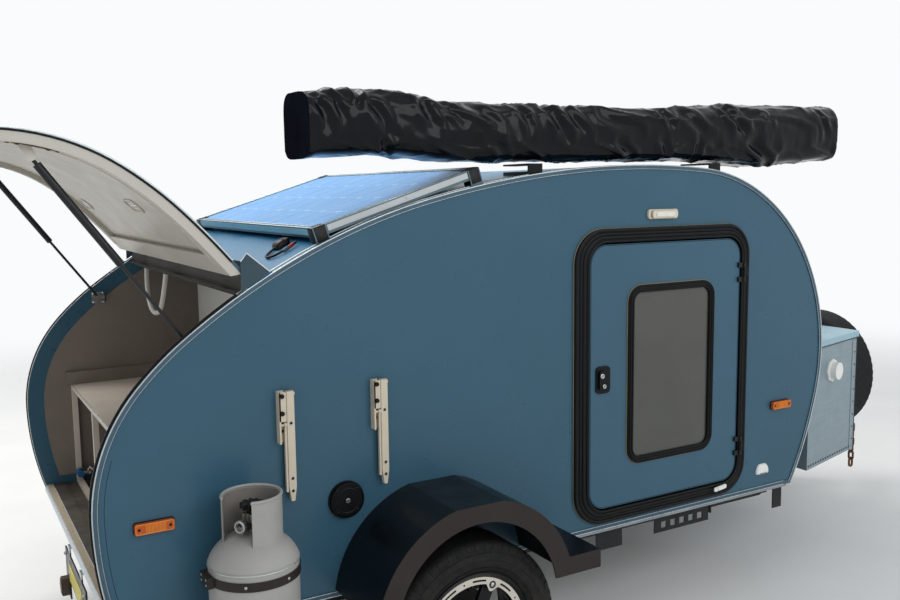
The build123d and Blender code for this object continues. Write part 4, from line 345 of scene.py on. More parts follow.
NODE_LOOKS = {
    "teal_paint": "wall_right wall_left", "door_paint": "door_leaf_right door_leaf_left",
    "hatch_skin": "hatch_skin", "roof_paint_and_hinge_shade": "roof_shell", "trim_line": "edge_trims",
    "floor_board": "floor", "bulkhead_white": "bulkhead", "galley_lining": "galley_linings",
    "bench_white": "galley_bench", "hatch_liner": "hatch_liner", "rubber_black": "door_frames",
    "black_plastic": "door_fittings_right door_fittings_left filler_cap awning_brackets awning_bag",
    "strap_brown_black": "bottle_bracket", "tinted_pane": "door_glass_right door_glass_left",
    "satin_black_metal": "strut_tube_right strut_tube_left strut_rod_right strut_rod_left",
    "chassis_and_ledge": "chassis",
    "chassis_black": "axle leaf_springs leg_front_right leg_front_left leg_rear_right leg_rear_left",
    "zinc_steel": "coupling jockey_tube jockey_fork", "rusty_steel": "chain", "box_sheet": "storage_box",
    "lid_sheet": "box_lid", "white_plastic": "power_inlet", "black_alloy": "spare_rim",
    "alloy_black_and_machined": "rim_right rim_left", "tyre_rubber": "spare_tyre tyre_right tyre_left jockey_wheel",
    "panel_frame": "solar_panel", "sill_dark_bright_cream": "rear_sill", "cable_black": "solar_cable",
    "bottle_and_valve": "gas_bottle", "lamp_lenses": "lamps", "lamp_dark": "tail_lamps", "hose_white": "hose_loop",
    "cream_steel": "table_plates table_arm_1 table_arm_2 table_brace_1 table_brace_2",
    "fender_black_and_lip": "fenders",
}
for look, names in NODE_LOOKS.items():
    for name in names.split():
        NODES[name].data.materials.clear()
        NODES[name].data.materials.append(M[look])


# Mesh building

def turned(profile, origin, axis, turns):
    """Sections of (radius, height) pairs, turned about an axis."""
    axis = Vector(axis).normalized()
    seed = Vector((1, 0, 0)) if abs(axis.x) < 0.9 else Vector((0, 1, 0))
    u = (seed - axis * seed.dot(axis)).normalized()
    w = axis.cross(u)
    rings = []
    for i in range(turns):
        d = u * cos(tau * i / turns) + w * sin(tau * i / turns)
        rings.append([Vector(origin) + d * r + axis * h for r, h in profile])
    return rings


class Form:
    """Gathers the faces of one piece, in metres in the shared frame."""

    def __init__(self):
        self.verts = []
        self.faces = []

    def add(self, verts, faces):
        """Take in vertices and the faces that count from them."""
        n = len(self.verts)
        self.verts += [tuple(v) for v in verts]
        self.faces += [tuple(i + n for i in f) for f in faces]

    def box(self, low, high):
        """A box between two corners."""
        (x0, y0, z0), (x1, y1, z1) = low, high
        self.add([(x, y, z) for x in (x0, x1) for y in (y0, y1) for z in (z0, z1)],
                 [(0, 1, 3, 2), (4, 6, 7, 5), (0, 4, 5, 1), (2, 3, 7, 6), (0, 2, 6, 4), (1, 5, 7, 3)])

    def rings(self, rings, closed=False, caps=True):
        """A skin over rings of equal length."""
        n, count = len(rings[0]), len(rings)
        faces = []
        for i in range(count if closed else count - 1):
            j = (i + 1) % count
            for k in range(n):
                m = (k + 1) % n
                faces.append((i * n + k, i * n + m, j * n + m, j * n + k))
        if caps and not closed:
            faces.append(tuple(range(n))[::-1])
            faces.append(tuple((count - 1) * n + k for k in range(n)))
        self.add([v for ring in rings for v in ring], faces)

    def tube(self, path, radius, sides=8, closed=False, flat=1.0):
        """A round bar along a path, its section carried along without twist."""
        count = len(path)
        rings = []
        normal = None
        for i, p in enumerate(path):
            if closed:
                tangent = (path[(i + 1) % count] - path[i - 1]).normalized()
            else:
                tangent = (path[min(i + 1, count - 1)] - path[max(i - 1, 0)]).normalized()
            if normal is None:
                normal = Vector((0, 1, 0)) if abs(tangent.y) < 0.9 else Vector((0, 0, 1))
            normal = (normal - tangent * normal.dot(tangent)).normalized()
            side = tangent.cross(normal)
            rings.append([p + normal * (radius * flat * cos(tau * k / sides)) + side * (radius * sin(tau * k / sides))
                          for k in range(sides)])
        self.rings(rings, closed=closed)

    def lathe(self, profile, origin, axis, turns):
        """Turn a closed section of (radius, height) pairs about an axis."""
        self.rings(turned(profile, origin, axis, turns), closed=True)

    def dome(self, place, direction, radius, height, sides=12):
        """A screw or rivet head, open underneath."""
        profile = [(radius, 0.0), (radius * 0.96, height * 0.45), (radius * 0.7, height * 0.85), (0.0002, height)]
        n = len(profile)
        faces = []
        for i in range(sides):
            j = (i + 1) % sides
            for k in range(n - 1):
                faces.append((i * n + k, j * n + k, j * n + k + 1, i * n + k + 1))
        self.add([v for ring in turned(profile, place, direction, sides) for v in ring], faces)

    def hex_head(self, place, direction, across, height):
        """A bolt head with a washer under it."""
        washer, seat, r = across * 0.72, height * 0.25, across / 2 / cos(pi / 6)
        self.lathe([(0, 0), (washer, 0), (washer, seat), (0, seat)], place, direction, 20)
        top = Vector(place) + Vector(direction).normalized() * height * 0.25
        self.lathe([(0, 0), (r, 0), (r, height * 0.75), (r * 0.8, height), (0, height)], top, direction, 6)

    def slab(self, outline, direction, depth, chamfer=0.0):
        """Push a closed outline of points out along a direction, with a narrow bevelled rim."""
        d = Vector(direction).normalized()
        rings = [outline, [p + d * (depth - chamfer) for p in outline]]
        if chamfer > 0:
            centre = sum(outline, Vector()) / len(outline)
            rings.append([p + (centre - p).normalized() * chamfer + d * depth for p in outline])
        self.rings(rings)


def forms(count):
    """Several empty forms."""
    return [Form() for _ in range(count)]


def linked(name, data):
    """A new object in the scene."""
    obj = bpy.data.objects.new(name, data)
    bpy.context.scene.collection.objects.link(obj)
    return obj


def piece(name, form, look, sharp=40, body="body", bevel=0.0):
    """Turn a form into an object that rides on a body."""
    mesh = bpy.data.meshes.new(name)
    mesh.from_pydata(form.verts, [], form.faces)
    mesh.materials.append(M[look])
    bm = bmesh.new()
    bm.from_mesh(mesh)
    bmesh.ops.remove_doubles(bm, verts=bm.verts, dist=0.000005)
    bmesh.ops.recalc_face_normals(bm, faces=bm.faces)
    bm.to_mesh(mesh)
    bm.free()
    mesh.shade_smooth()
    mesh.set_sharp_from_angle(angle=radians(sharp))
    obj = linked(name, mesh)
    if bevel > 0:
        mod = obj.modifiers.new("bevel", "BEVEL")
        mod.width = bevel
        mod.segments = 2
        mod.limit_method = "ANGLE"
        mod.angle_limit = radians(sharp)
        mod.harden_normals = False
    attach(obj, body)
    return obj


def arc_points(p, d, q, n):
    """Points of the arc that leaves p along d and ends at q, and the direction there."""
    nx, nz = -d[1], d[0]
    cx, cz = q[0] - p[0], q[1] - p[1]
    r = (cx * cx + cz * cz) / (2 * (nx * cx + nz * cz))
    ox, oz = p[0] + nx * r, p[1] + nz * r
    a0 = atan2(p[1] - oz, p[0] - ox)
    a1 = atan2(q[1] - oz, q[0] - ox)
    turn = a1 - a0
    while turn > pi:
        turn -= tau
    while turn < -pi:
        turn += tau
    sign = 1 if turn > 0 else -1
    pts = [(ox + abs(r) * cos(a0 + turn * i / n), oz + abs(r) * sin(a0 + turn * i / n)) for i in range(n + 1)]
    return pts, (-sin(a1) * sign, cos(a1) * sign)


def body_outline():
    """The side outline from the rear bottom corner up over the roof to the front bottom corner."""
    low, _ = arc_points(OUTLINE_JOINTS[0], (0, -1), OUTLINE_REAR_BOTTOM, 14)
    pts = low[::-1]
    d = (0, 1)
    for p, q in zip(OUTLINE_JOINTS[:-1], OUTLINE_JOINTS[1:]):
        arc, d = arc_points(p, d, q, max(4, int(dist(p, q) / OUTLINE_STEP)))
        pts += arc[1:]
    return pts


OUTLINE = body_outline()


def open_outline(amount):
    """The outline grown outwards by an amount, without its bottom edge."""
    pts = []
    for i, (x, z) in enumerate(OUTLINE):
        a = OUTLINE[max(i - 1, 0)]
        b = OUTLINE[min(i + 1, len(OUTLINE) - 1)]
        dx, dz = b[0] - a[0], b[1] - a[1]
        size = hypot(dx, dz)
        pts.append((x - dz / size * amount, z + dx / size * amount))
    return pts


def roof_height(x):
    """Height of the outline over the body at a distance x."""
    return max(a[1] + (b[1] - a[1]) * (x - a[0]) / (b[0] - a[0]) for a, b in zip(OUTLINE, OUTLINE[1:])
               if min(a[0], b[0]) <= x <= max(a[0], b[0]) and a[0] != b[0])


def rounded_rect(x0, x1, z0, z1, r, n=4):
    """Points round a rounded rectangle in the side view."""
    pts = []
    for cx, cz, a0 in ((x1 - r, z1 - r, 0), (x0 + r, z1 - r, 90), (x0 + r, z0 + r, 180), (x1 - r, z0 + r, 270)):
        for i in range(n + 1):
            a = radians(a0 + 90 * i / n)
            pts.append((cx + r * cos(a), cz + r * sin(a)))
    return pts


def about(cx, cz, half_x, half_z, r, n=5):
    """Points round a rounded rectangle about its centre."""
    return rounded_rect(cx - half_x, cx + half_x, cz - half_z, cz + half_z, r, n)


def side_loop(pts, side, y):
    """Side-view points as points in metres at a distance from the centre plane."""
    return [at(x, side * y, z) for x, z in pts]


def ripple(x, y, z):
    """Smooth noise at a point, about -1 to 1."""
    return noise.noise(Vector((x, y, z)))


# Awning in its bag

# Lower and upper edge of the bag along its length. Columns: x, z low, z high
BAG_EDGES = [
    (636, 1297, 1507), (700, 1302, 1517), (790, 1304, 1522), (900, 1312, 1519), (1000, 1303, 1512),
    (1090, 1293, 1500), (1180, 1291, 1495), (1500, 1294, 1497), (1760, 1298, 1502), (2040, 1302, 1509),
    (2240, 1298, 1517), (2300, 1293, 1528), (2520, 1280, 1532), (2700, 1292, 1535), (2915, 1306, 1539),
]
# Deep creases seen on the near side. Columns: x, z at the top end, x, z at the low end, depth, width, in millimetres
BAG_CREASES = [
    (640, 1500, 690, 1392, 9, 16), (668, 1512, 742, 1420, 10, 15), (716, 1515, 770, 1450, 9, 13),
    (778, 1516, 800, 1455, 8, 12), (830, 1450, 912, 1385, 10, 15), (1010, 1512, 1050, 1392, 9, 16),
    (1085, 1496, 1140, 1420, 7, 14), (1180, 1490, 1260, 1400, 6, 16), (1330, 1494, 1400, 1410, 7, 14),
    (1450, 1492, 1560, 1385, 9, 16), (1540, 1492, 1640, 1400, 8, 15), (1700, 1470, 1860, 1400, 7, 18),
    (1930, 1500, 2010, 1430, 6, 14), (2060, 1460, 2240, 1385, 8, 18), (2296, 1525, 2370, 1430, 13, 18),
    (2360, 1440, 2520, 1290, 12, 18), (2330, 1505, 2480, 1470, 10, 14), (2560, 1450, 2760, 1412, 7, 14),
    (2800, 1500, 2880, 1410, 7, 14), (860, 1376, 900, 1312, 7, 14), (1240, 1370, 1300, 1296, 6, 15),
    (1780, 1372, 1830, 1300, 7, 15), (1960, 1372, 2000, 1304, 6, 14), (2140, 1370, 2170, 1300, 6, 14),
]
BAG_SEAM_Z = 1376
BAG_NEAR, BAG_FAR = -785, -562
BAG_STATIONS, BAG_AROUND = 400, 92
BAG_CAP_STEPS = [1.0, 0.97, 0.86, 0.66, 0.42, 0.2]


def edge_at(x, column):
    """A smooth reading of a column of the bag's edges at a distance x."""
    for a, b in zip(BAG_EDGES, BAG_EDGES[1:]):
        if x <= b[0]:
            s = (x - a[0]) / (b[0] - a[0])
            return a[column] + (b[column] - a[column]) * (s * s * (3 - 2 * s))
    return BAG_EDGES[-1][column]


def crease_depth(x, z):
    """How far the creases push the vinyl in or out at a point of the near side."""
    total = 0.0
    for x0, z0, x1, z1, depth, width in BAG_CREASES:
        dx, dz = x1 - x0, z1 - z0
        size2 = dx * dx + dz * dz
        s = ((x - x0) * dx + (z - z0) * dz) / size2
        c = min(1.0, max(0.0, s))
        bend = 14 * sin(c * 2.6 + x0 * 0.01)
        d = hypot(x - (x0 + dx * c + bend * -dz / sqrt(size2)), z - (z0 + dz * c + bend * dx / sqrt(size2)))
        if d < width * 4:
            fade = max(0.0, 1 - abs(s - 0.5) * 0.9) if 0 <= s <= 1 else 0.5
            total -= depth * fade * exp(-(d / width) ** 2)
            total += depth * 0.85 * fade * exp(-((d - width * 1.7) / (width * 0.8)) ** 2)
    return total


def bag_fold(x, y, z, cu, su):
    """How far the vinyl stands out or in at a point, with the section's direction there."""
    ridge = 1 - abs(ripple(x * 0.0028 + z * 0.0050, y * 0.007, z * 0.0085)) * 2
    ridge2 = 1 - abs(ripple(x * 0.0058 + z * 0.011, y * 0.012, z * 0.014 + 7)) * 2.2
    fine = ripple(x * 0.045, y * 0.05, z * 0.05 + 31)
    out = -10 + 8 * max(0.0, ridge) ** 6 + 3 * max(0.0, ridge2) ** 5 + 0.4 * fine
    near = max(0.0, -cu)
    if near > 0.2:
        out += crease_depth(x, z) * min(1.0, (near - 0.2) * 2.5)
        out += -5 * exp(-((z - BAG_SEAM_Z - 3 * sin(x * 0.006)) / 3.2) ** 2) * min(1.0, near * 1.5)
        if z < BAG_SEAM_Z:
            out += -4 * (1 - exp(-((z - BAG_SEAM_Z) / 9) ** 2)) * near
    if su > 0.3 and abs(cu) < 0.95:
        out -= 7 * (1 - cu * cu) * (0.5 + 0.5 * ripple(x * 0.004, 3, 5)) * 1.4
        out += 5 * max(0.0, 1 - abs(ripple(x * 0.007 - y * 0.016, y * 0.008, 41)) * 2.4) ** 2
    return max(-34.0, min(0.0 if abs(cu) > 0.9 or su < 0 else 1.0, out))


def make_bag():
    """The vinyl bag: a loft that sags and folds, with a seam along its side. Its badge is left out. Its ends take a
    glossless copy of the vinyl, so they read dark: painted shade.
    """
    form = Form()
    x0, x1 = BAG_EDGES[0][0], BAG_EDGES[-1][0]
    cy, hy = (BAG_NEAR + BAG_FAR) / 2, (BAG_FAR - BAG_NEAR) / 2
    rings = []
    for i in range(BAG_STATIONS + 1):
        x = x0 + (x1 - x0) * i / BAG_STATIONS
        low, high = edge_at(x, 1), edge_at(x, 2)
        cz, hz = (low + high) / 2, (high - low) / 2
        grip = min(1.0, min(x - x0, x1 - x) / 26)
        pull = 1 - 0.035 * (1 - grip) ** 2
        ring = []
        for k in range(BAG_AROUND):
            a = tau * k / BAG_AROUND
            power = 2 / (2.9 if cos(a) < 0 < sin(a) else 4.6)
            cu, su = (copysign(abs(v) ** power, v) for v in (cos(a), sin(a)))
            y, z = cy + hy * cu, cz + hz * su
            n = Vector((0, cu * abs(cu), su * abs(su))).normalized()
            out = bag_fold(x, y, z, cu, su)
            ring.append(at(*Vector((x, cy + (y - cy) * pull + n.y * out * (0.35 + 0.65 * grip),
                                    cz + (z - cz) * pull + n.z * out * (0.35 + 0.65 * grip)))))
        rings.append(ring)
    form.rings(rings, caps=False)
    for ring, way in ((rings[0], -1), (rings[-1], 1)):
        centre = sum(ring, Vector()) / len(ring)
        cap = []
        for s in BAG_CAP_STEPS:
            loop = []
            for v in ring:
                c = centre + (v - centre) * s
                fold = ripple(c.y * 22, c.z * 9, way * 3)
                c.x -= way * (0.010 * (1 - s * s) * (0.7 + 1.3 * abs(fold)) + 0.004 * s * (1 - s) * fold)
                loop.append(c)
            cap.append(loop)
        form.rings(cap if way > 0 else cap[::-1])
    obj = piece("bag_shell", form, "bag_vinyl", 75)
    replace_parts(obj, "awning_bag")
    # The ends take the glossless copy of the vinyl: painted shade
    obj.data.materials.append(M["bag_vinyl_end"])
    for face in obj.data.polygons:
        if abs(face.normal.x) > 0.5 and face.center.x < rings[0][0].x + 0.03:
            face.material_index = 1


# Body, doors and lamps

def make_edges():
    """Bright beads along the trims, which are painted highlights of their rounded edges, a thin dark joint inside them
    and the rear opening's seal.
    """
    bright, dark, seal = forms(3)
    x0, x1 = OUTLINE[0][0], OUTLINE[-1][0]
    low = [x1 + (x0 - x1) * i / 60 for i in range(1, 60)]
    joint = [p for p in open_outline(-30) if p[0] < 400 and p[1] < 520]
    rear = [p for p in open_outline(1.2) if p[0] < 424 and p[1] < 985]
    for side in SIDES:
        # Bright beads that stand for the highlights on the rounded trim edges: painted highlights
        for amount, y, r, sides in ((0.2, 784.3, 0.0021, 8), (0.8, 753, 0.0017, 8), (-12.6, 784.1, 0.0008, 6)):
            bright.tube(side_loop(open_outline(amount), side, y), r, sides)
        for z, y, r in ((0.4, 784.2, 0.0016), (14, 784.1, 0.0012)):
            bright.tube(side_loop([(x, z) for x in low], side, y), r)
        dark.tube(side_loop(joint, side, 780.1), 0.0006, 6)
        seal.tube(side_loop(rear, side, 766), 0.0052, 10)
    piece("edge_highlight_beads", bright, "bright_edge", 70)
    piece("edge_joint", dark, "rubber_black", 70)
    piece("opening_seal", seal, "rubber_black", 70)


def frame_loop(t, grow=0.0):
    """A loop between the door frame's hole and its outer edge, t from 0 to 1."""
    x0, x1, z0, z1, r = (p + (q - p) * t for p, q in zip(DOOR_HOLE, DOOR_EDGE))
    return rounded_rect(x0 - grow, x1 + grow, z0 - grow, z1 + grow, r, 12)


def make_door_rings():
    """Rubber ridges round the door frames, with a thin light line outside."""
    ridges, line = forms(2)
    for side in SIDES:
        for t, r, flat in ((0.10, 0.0050, 0.8), (0.38, 0.0062, 0.7), (0.62, 0.0050, 0.7), (0.90, 0.0066, 0.7)):
            ridges.tube(side_loop(frame_loop(t), side, 789.6), r, 10, closed=True, flat=flat)
        line.tube(side_loop(frame_loop(1, 0.6), side, 782.2), 0.0020, closed=True)
    piece("door_frame_ridges", ridges, "rubber_black", 60)
    piece("door_frame_line", line, "tan_line", 60)


def window_loop(inset):
    """A loop inside the window ring's outer edge."""
    x0, x1, z0, z1, r = WINDOW
    return rounded_rect(x0 + inset, x1 - inset, z0 + inset, z1 - inset, r - inset, 10)


def make_door_dress(side, word):
    """Ridges of the window's ring, a groove line on the leaf and the lock's two barrels."""
    body = "door_" + word
    rubber, metal, holes, light = forms(4)
    for inset, r in ((3, 0.0030), (11, 0.0038), (21, 0.0034)):
        rubber.tube(side_loop(window_loop(inset), side, 792.6), r, closed=True)
    light.tube(side_loop(window_loop(-1.6), side, 787.4), 0.0017, closed=True)
    rubber.tube(side_loop(rounded_rect(1640, 2358, 80, 1013, 67, 12), side, 785.6), 0.0011, 6, closed=True)
    out = (0, side, 0)
    for x, z, r in ((1681, 561, 0.0088), (1690, 524, 0.0078)):
        place = at(x, side * 799.6, z)
        metal.lathe([(r * 0.55, 0), (r, 0), (r, 0.0022), (r * 0.9, 0.0034), (r * 0.62, 0.0034), (r * 0.55, 0.0026)],
                    place, out, 28)
        metal.lathe([(0, 0), (r * 0.42, 0), (r * 0.42, 0.0024), (0, 0.0028)], place, out, 18)
        holes.box(place + Vector((-0.0006, side * 0.0026 - 0.0006, -0.003)),
                  place + Vector((0.0006, side * 0.0026 + 0.0006, 0.003)))
    piece("window_ridges_" + word, rubber, "rubber_black", 60, body)
    piece("window_line_" + word, light, "tan_line", 60, body)
    piece("lock_barrels_" + word, metal, "bright_steel", 32, body, 0.0003)
    piece("lock_slots_" + word, holes, "rubber_black", 32, body)


def wall_slab(form, outline, side, y, depth, chamfer=0.0):
    """Push a side-view outline outwards from its distance to the centre plane."""
    form.slab(side_loop(outline, side, y), (0, side, 0), depth, chamfer)


def make_lamp_dress():
    """Bases, ribs, rims and screws of the orange lamps, and the bases and lenses of the lamps over the doors."""
    ribs, dark, screws, lens = forms(4)
    for side in SIDES:
        for x, z in ((154, 324), (2612, 338)):
            wall_slab(dark, about(x, z, 54, 17, 7), side, WALL_FACE, 0.0048, 0.0012)
            for i in range(15):
                wall_slab(ribs, about(x - 22 + i * 3.6, z, 1, 12, 0.9, 2), side, 795.4, 0.0016, 0.0004)
            ribs.tube(side_loop(about(x, z, 49.5, 12.8, 5), side, 796), 0.0012, 6, closed=True)
            for dx in (-41, 41):
                screws.dome(at(x + dx, side * 795.8, z), (0, side, 0), 0.0040, 0.0022)
        wall_slab(dark, about(1965, 1116, 62, 15.5, 9), side, WALL_FACE, 0.0042, 0.0010)
        wall_slab(lens, about(1965, 1116, 44, 8.5, 6), side, 799.8, 0.0026, 0.0010)
    piece("lamp_ribs", ribs, "lens_amber")
    piece("lamp_bases", dark, "black_plastic")
    piece("lamp_screws", screws, "black_plastic", 60)
    piece("door_lamp_lenses", lens, "door_lamp_lens")


# Tyres and wheels

TYRE_LUGS = 54
# Columns: radius, height and thickness of the sidewall's rings, then radius and height round a tread block
TYRE_RINGS = [(0.2145, 0.0905, 0.0016), (0.2395, 0.0947, 0.0012), (0.2620, 0.0902, 0.0015)]
TYRE_BLOCK = [(0.2745, 0.0872), (0.2835, 0.0836), (0.2893, 0.0775), (0.2885, 0.0700), (0.270, 0.072)]
FIRST_BOLT = 66


def wheel_point(centre, basis, r, a, h):
    """A point of a wheel: radius and angle in its plane, height along its outer axis."""
    u, w, n = basis
    return centre + u * (r * cos(a)) + w * (r * sin(a)) + n * h


def make_tyre_dress(name, centre, basis, body="body"):
    """Raised rings on the sidewall and the tread's shoulder blocks."""
    rings, blocks = forms(2)
    for way in (1, -1):
        for r, h, wire in TYRE_RINGS:
            rings.tube([wheel_point(centre, basis, r, tau * i / 120, way * h) for i in range(120)], wire, 6,
                       closed=True)
        for i in range(TYRE_LUGS):
            a0 = tau * (i + (0.0 if way > 0 else 0.5)) / TYRE_LUGS
            span = tau / TYRE_LUGS * (0.62 if i % 2 else 0.52)
            section = [(0.2665 if i % 3 else 0.2610, 0.0858)] + TYRE_BLOCK
            blocks.rings([[wheel_point(centre, basis, r, a0 + span * s, way * h) for r, h in section]
                          for s in (0.0, 0.5, 1.0)])
    piece(name + "_rings", rings, "tyre_rubber", 60, body)
    piece(name + "_blocks", blocks, "tyre_rubber", 25, body, bevel=0.0012)


def make_rim_dress(name, centre, basis, body):
    """Bolts on the rim's bosses, a hub cap with nuts, and the valve."""
    bolts, dark = forms(2)
    n = basis[2]
    for i in range(5):
        a = radians(FIRST_BOLT + 72 * i)
        place = wheel_point(centre, basis, 0.1605, a, 0.0728)
        dark.lathe([(0.0066, 0), (0.0118, 0), (0.0114, 0.0014), (0.0070, 0.0014)], place, n, 24)
        bolts.lathe([(0, 0), (0.0050, 0), (0.0050, 0.0026), (0.0034, 0.0034), (0, 0.0034)], place, n, 18)
        bolts.hex_head(wheel_point(centre, basis, 0.0500, a + radians(36), 0.0435), n, 0.017, 0.012)
    dark.lathe([(0, 0), (0.0302, 0), (0.0302, 0.004), (0.0262, 0.0075), (0, 0.0085)], centre + n * 0.0855, n, 32)
    valve = wheel_point(centre, basis, 0.1515, radians(FIRST_BOLT + 30), 0.050)
    dark.tube([valve, valve + n * 0.016 - (valve - centre - n * 0.050).normalized() * 0.010], 0.0030)
    piece(name + "_bolts", bolts, "bright_steel", body=body)
    piece(name + "_cap", dark, "black_plastic", body=body)


def make_wheels():
    """Dress of both running wheels and of the spare tyre."""
    for side, word in WORDS:
        hub = at(WHEEL_X, side * WHEEL_Y, WHEEL_Z)
        basis = (Vector((1, 0, 0)), Vector((0, 0, -side)), Vector((0, side, 0)))
        make_tyre_dress("tyre_" + word, hub, basis, "wheel_" + word)
        make_rim_dress("rim_" + word, hub, basis, "wheel_" + word)
    make_tyre_dress("spare_tyre", at(3445, -275, 306), (Vector((0, 1, 0)), Vector((0, 0, 1)), Vector((1, 0, 0))))


# Hatch: edge lines, seal, lights and brackets, built at its open place

ACROSS = Vector((0, 1, 0))


def opened(x, z):
    """A side-view point of the closed hatch, where it stands when the hatch is open."""
    dx, dz = x - HINGE[0], z - HINGE[1]
    c, s = cos(HATCH_TURN), sin(HATCH_TURN)
    return (HINGE[0] + dx * c + dz * s, HINGE[1] - dx * s + dz * c)


def hatch_line(amount, low=40):
    """The open hatch's section line at a distance from the closed body's outline."""
    return [opened(x, z) for x, z in open_outline(amount) if low < z < 968 and x < 424]


def hatch_place(target, amount):
    """The point of that line nearest to a target, with its direction along the section and inwards."""
    pts = hatch_line(amount)
    i = min(range(1, len(pts) - 1), key=lambda k: dist(pts[k], target))
    a, b = pts[i - 1], pts[i + 1]
    along = Vector((b[0] - a[0], 0, b[1] - a[1])).normalized()
    return at(pts[i][0], 0, pts[i][1]), along, Vector((along.z, 0, -along.x))


def patch_of(centre, along, half_a, half_b, corner, n=12):
    """A rounded patch about a centre, along the hatch's section and across it, in millimetres."""
    return [centre + along * (u / 1000) + ACROSS * (v / 1000) for u, v in about(0, 0, half_a, half_b, corner, n)]


def make_hatch_dress():
    """Edge lines, seals, oval lights and the struts' plates on the hatch."""
    bright, seal, rim, glass, led, rust = forms(6)
    for side in SIDES:
        bright.tube(side_loop(hatch_line(40), side, 780.4), 0.0027)
        seal.tube(side_loop(hatch_line(35.6), side, 779.2), 0.0032, 10)
        rim.tube(side_loop(hatch_line(8.2), side, 776.6), 0.0024)
        rim.tube(side_loop(hatch_line(7.6, 96), side, 722), 0.0022)
    low, _, _ = hatch_place(opened(60, 60), 40.6)
    bright.tube([low + ACROSS * (y / 1000) for y in (-778, 0, 778)], 0.0022)
    lamp, along, inward = hatch_place((238.3, 1174.3), 24.5)
    for y in (570, -325):
        centre = lamp + ACROSS * (y / 1000)
        rim.tube([v + inward * 0.0012 for v in patch_of(centre, along, 27, 68, 26)], 0.0036, closed=True)
        glass.slab(patch_of(centre - inward * 0.0004, along, 23, 64, 22), inward, 0.0016)
        rim.tube([v + inward * 0.0014 for v in patch_of(centre, along, 17, 54, 16)], 0.0012, 6, closed=True)
        for k in (-1, 0, 1):
            led.dome(centre + ACROSS * (0.026 * k) + inward * 0.0012, inward, 0.0060, 0.0020, 18)
    plate, along, inward = hatch_place((-83, 1303), 7.5)
    for side in SIDES:
        centre = plate + ACROSS * (side * 0.7405)
        rust.slab(patch_of(centre, along, 74, 13, 5, 5), inward, 0.0026, 0.0006)
        for u in (-58, -36, 36, 58):
            rust.dome(centre + along * (u / 1000) + inward * 0.0026, inward, 0.0062, 0.0034)
    piece("hatch_edge_line", bright, "bright_edge", 70, "hatch")
    piece("hatch_edge_seal", seal, "rubber_black", 70, "hatch")
    piece("hatch_rim_beads", rim, "hatch_liner", 70, "hatch")
    piece("hatch_light_glass", glass, "hatch_liner", body="hatch")
    piece("hatch_light_spots", led, "chrome", 60, "hatch")
    piece("hatch_strut_plates", rust, "rusty_steel", body="hatch")


def make_hinge_dress():
    """Fairing plates at the hatch's hinge, the ragged seal strip under it, whose dark tone is partly painted shade of
    the hinge gap, and the struts' wall brackets.
    """
    plate, line, foam, metal = forms(4)
    pin_x, pin_z = 290, 787
    ear = [(pin_x + 14 * cos(radians(a)), pin_z + 14 * sin(radians(a))) for a in range(90, 271, 15)]
    ear += [(314, 773), (314, 801)]
    for side in SIDES:
        wall_slab(plate, [(419, 1021), (437, 1043), (501, 989), (418, 937)], side, 784.2, 0.0016, 0.0005)
        line.tube(side_loop([(419, 1022), (437, 1044), (502, 990)], side, 786), 0.0015)
        metal.slab(side_loop(rounded_rect(266, 316, 763, 811, 6), side, 751.6), (0, -side, 0), 0.0026, 0.0006)
        for y in (711.2, 732.6):
            wall_slab(metal, ear, side, y, 0.0026)
        wall_slab(metal, [(311, 773), (314, 773), (314, 801), (311, 801)], side, 711.2, 0.040)
        for dx, dz in ((-18, -18), (20, -18), (-18, 18), (20, 18)):
            metal.dome(at(pin_x + dx, side * 749, pin_z + dz), (0, -side, 0), 0.0055, 0.0032)
    # The ragged strip at the roof's rear edge: partly a seal, partly painted shade of the hinge gap
    rings = []
    for i in range(121):
        y = -738 + 1476 * i / 120
        b = ripple(y * 0.11, 7, 0)
        low = 923 + 3 * ripple(y * 0.03, 1, 0) + 2.5 * b
        near = 424.5 + 1.5 * b
        high = roof_height(near) - 2 + ripple(y * 0.05, 3, 9)
        rings.append([at(near, y, high), at(near - 1.5, y, (low + high) / 2), at(near, y, low), at(452, y, low + 3),
                      at(452, y, high)])
    foam.rings(rings)
    piece("fairing_plates", plate, "fairing_paint")
    piece("fairing_lines", line, "white_plastic", 70)
    piece("hinge_seal_strip", foam, "foam_dark", 60)
    piece("strut_wall_brackets", metal, "bright_steel")


# Solar panel

def panel_point(x, y, z):
    """A place on the solar panel: along its slope, across, and up from its top face, in millimetres."""
    c, s = cos(PANEL_TILT), sin(PANEL_TILT)
    return at(643 + x * c - z * s, -136 + y, 1104 + x * s + z * c)


def panel_rect(x0, x1, y0, y1, z):
    """A rectangle on the solar panel."""
    return [panel_point(x, y, z) for x, y in ((x0, y0), (x1, y0), (x1, y1), (x0, y1))]


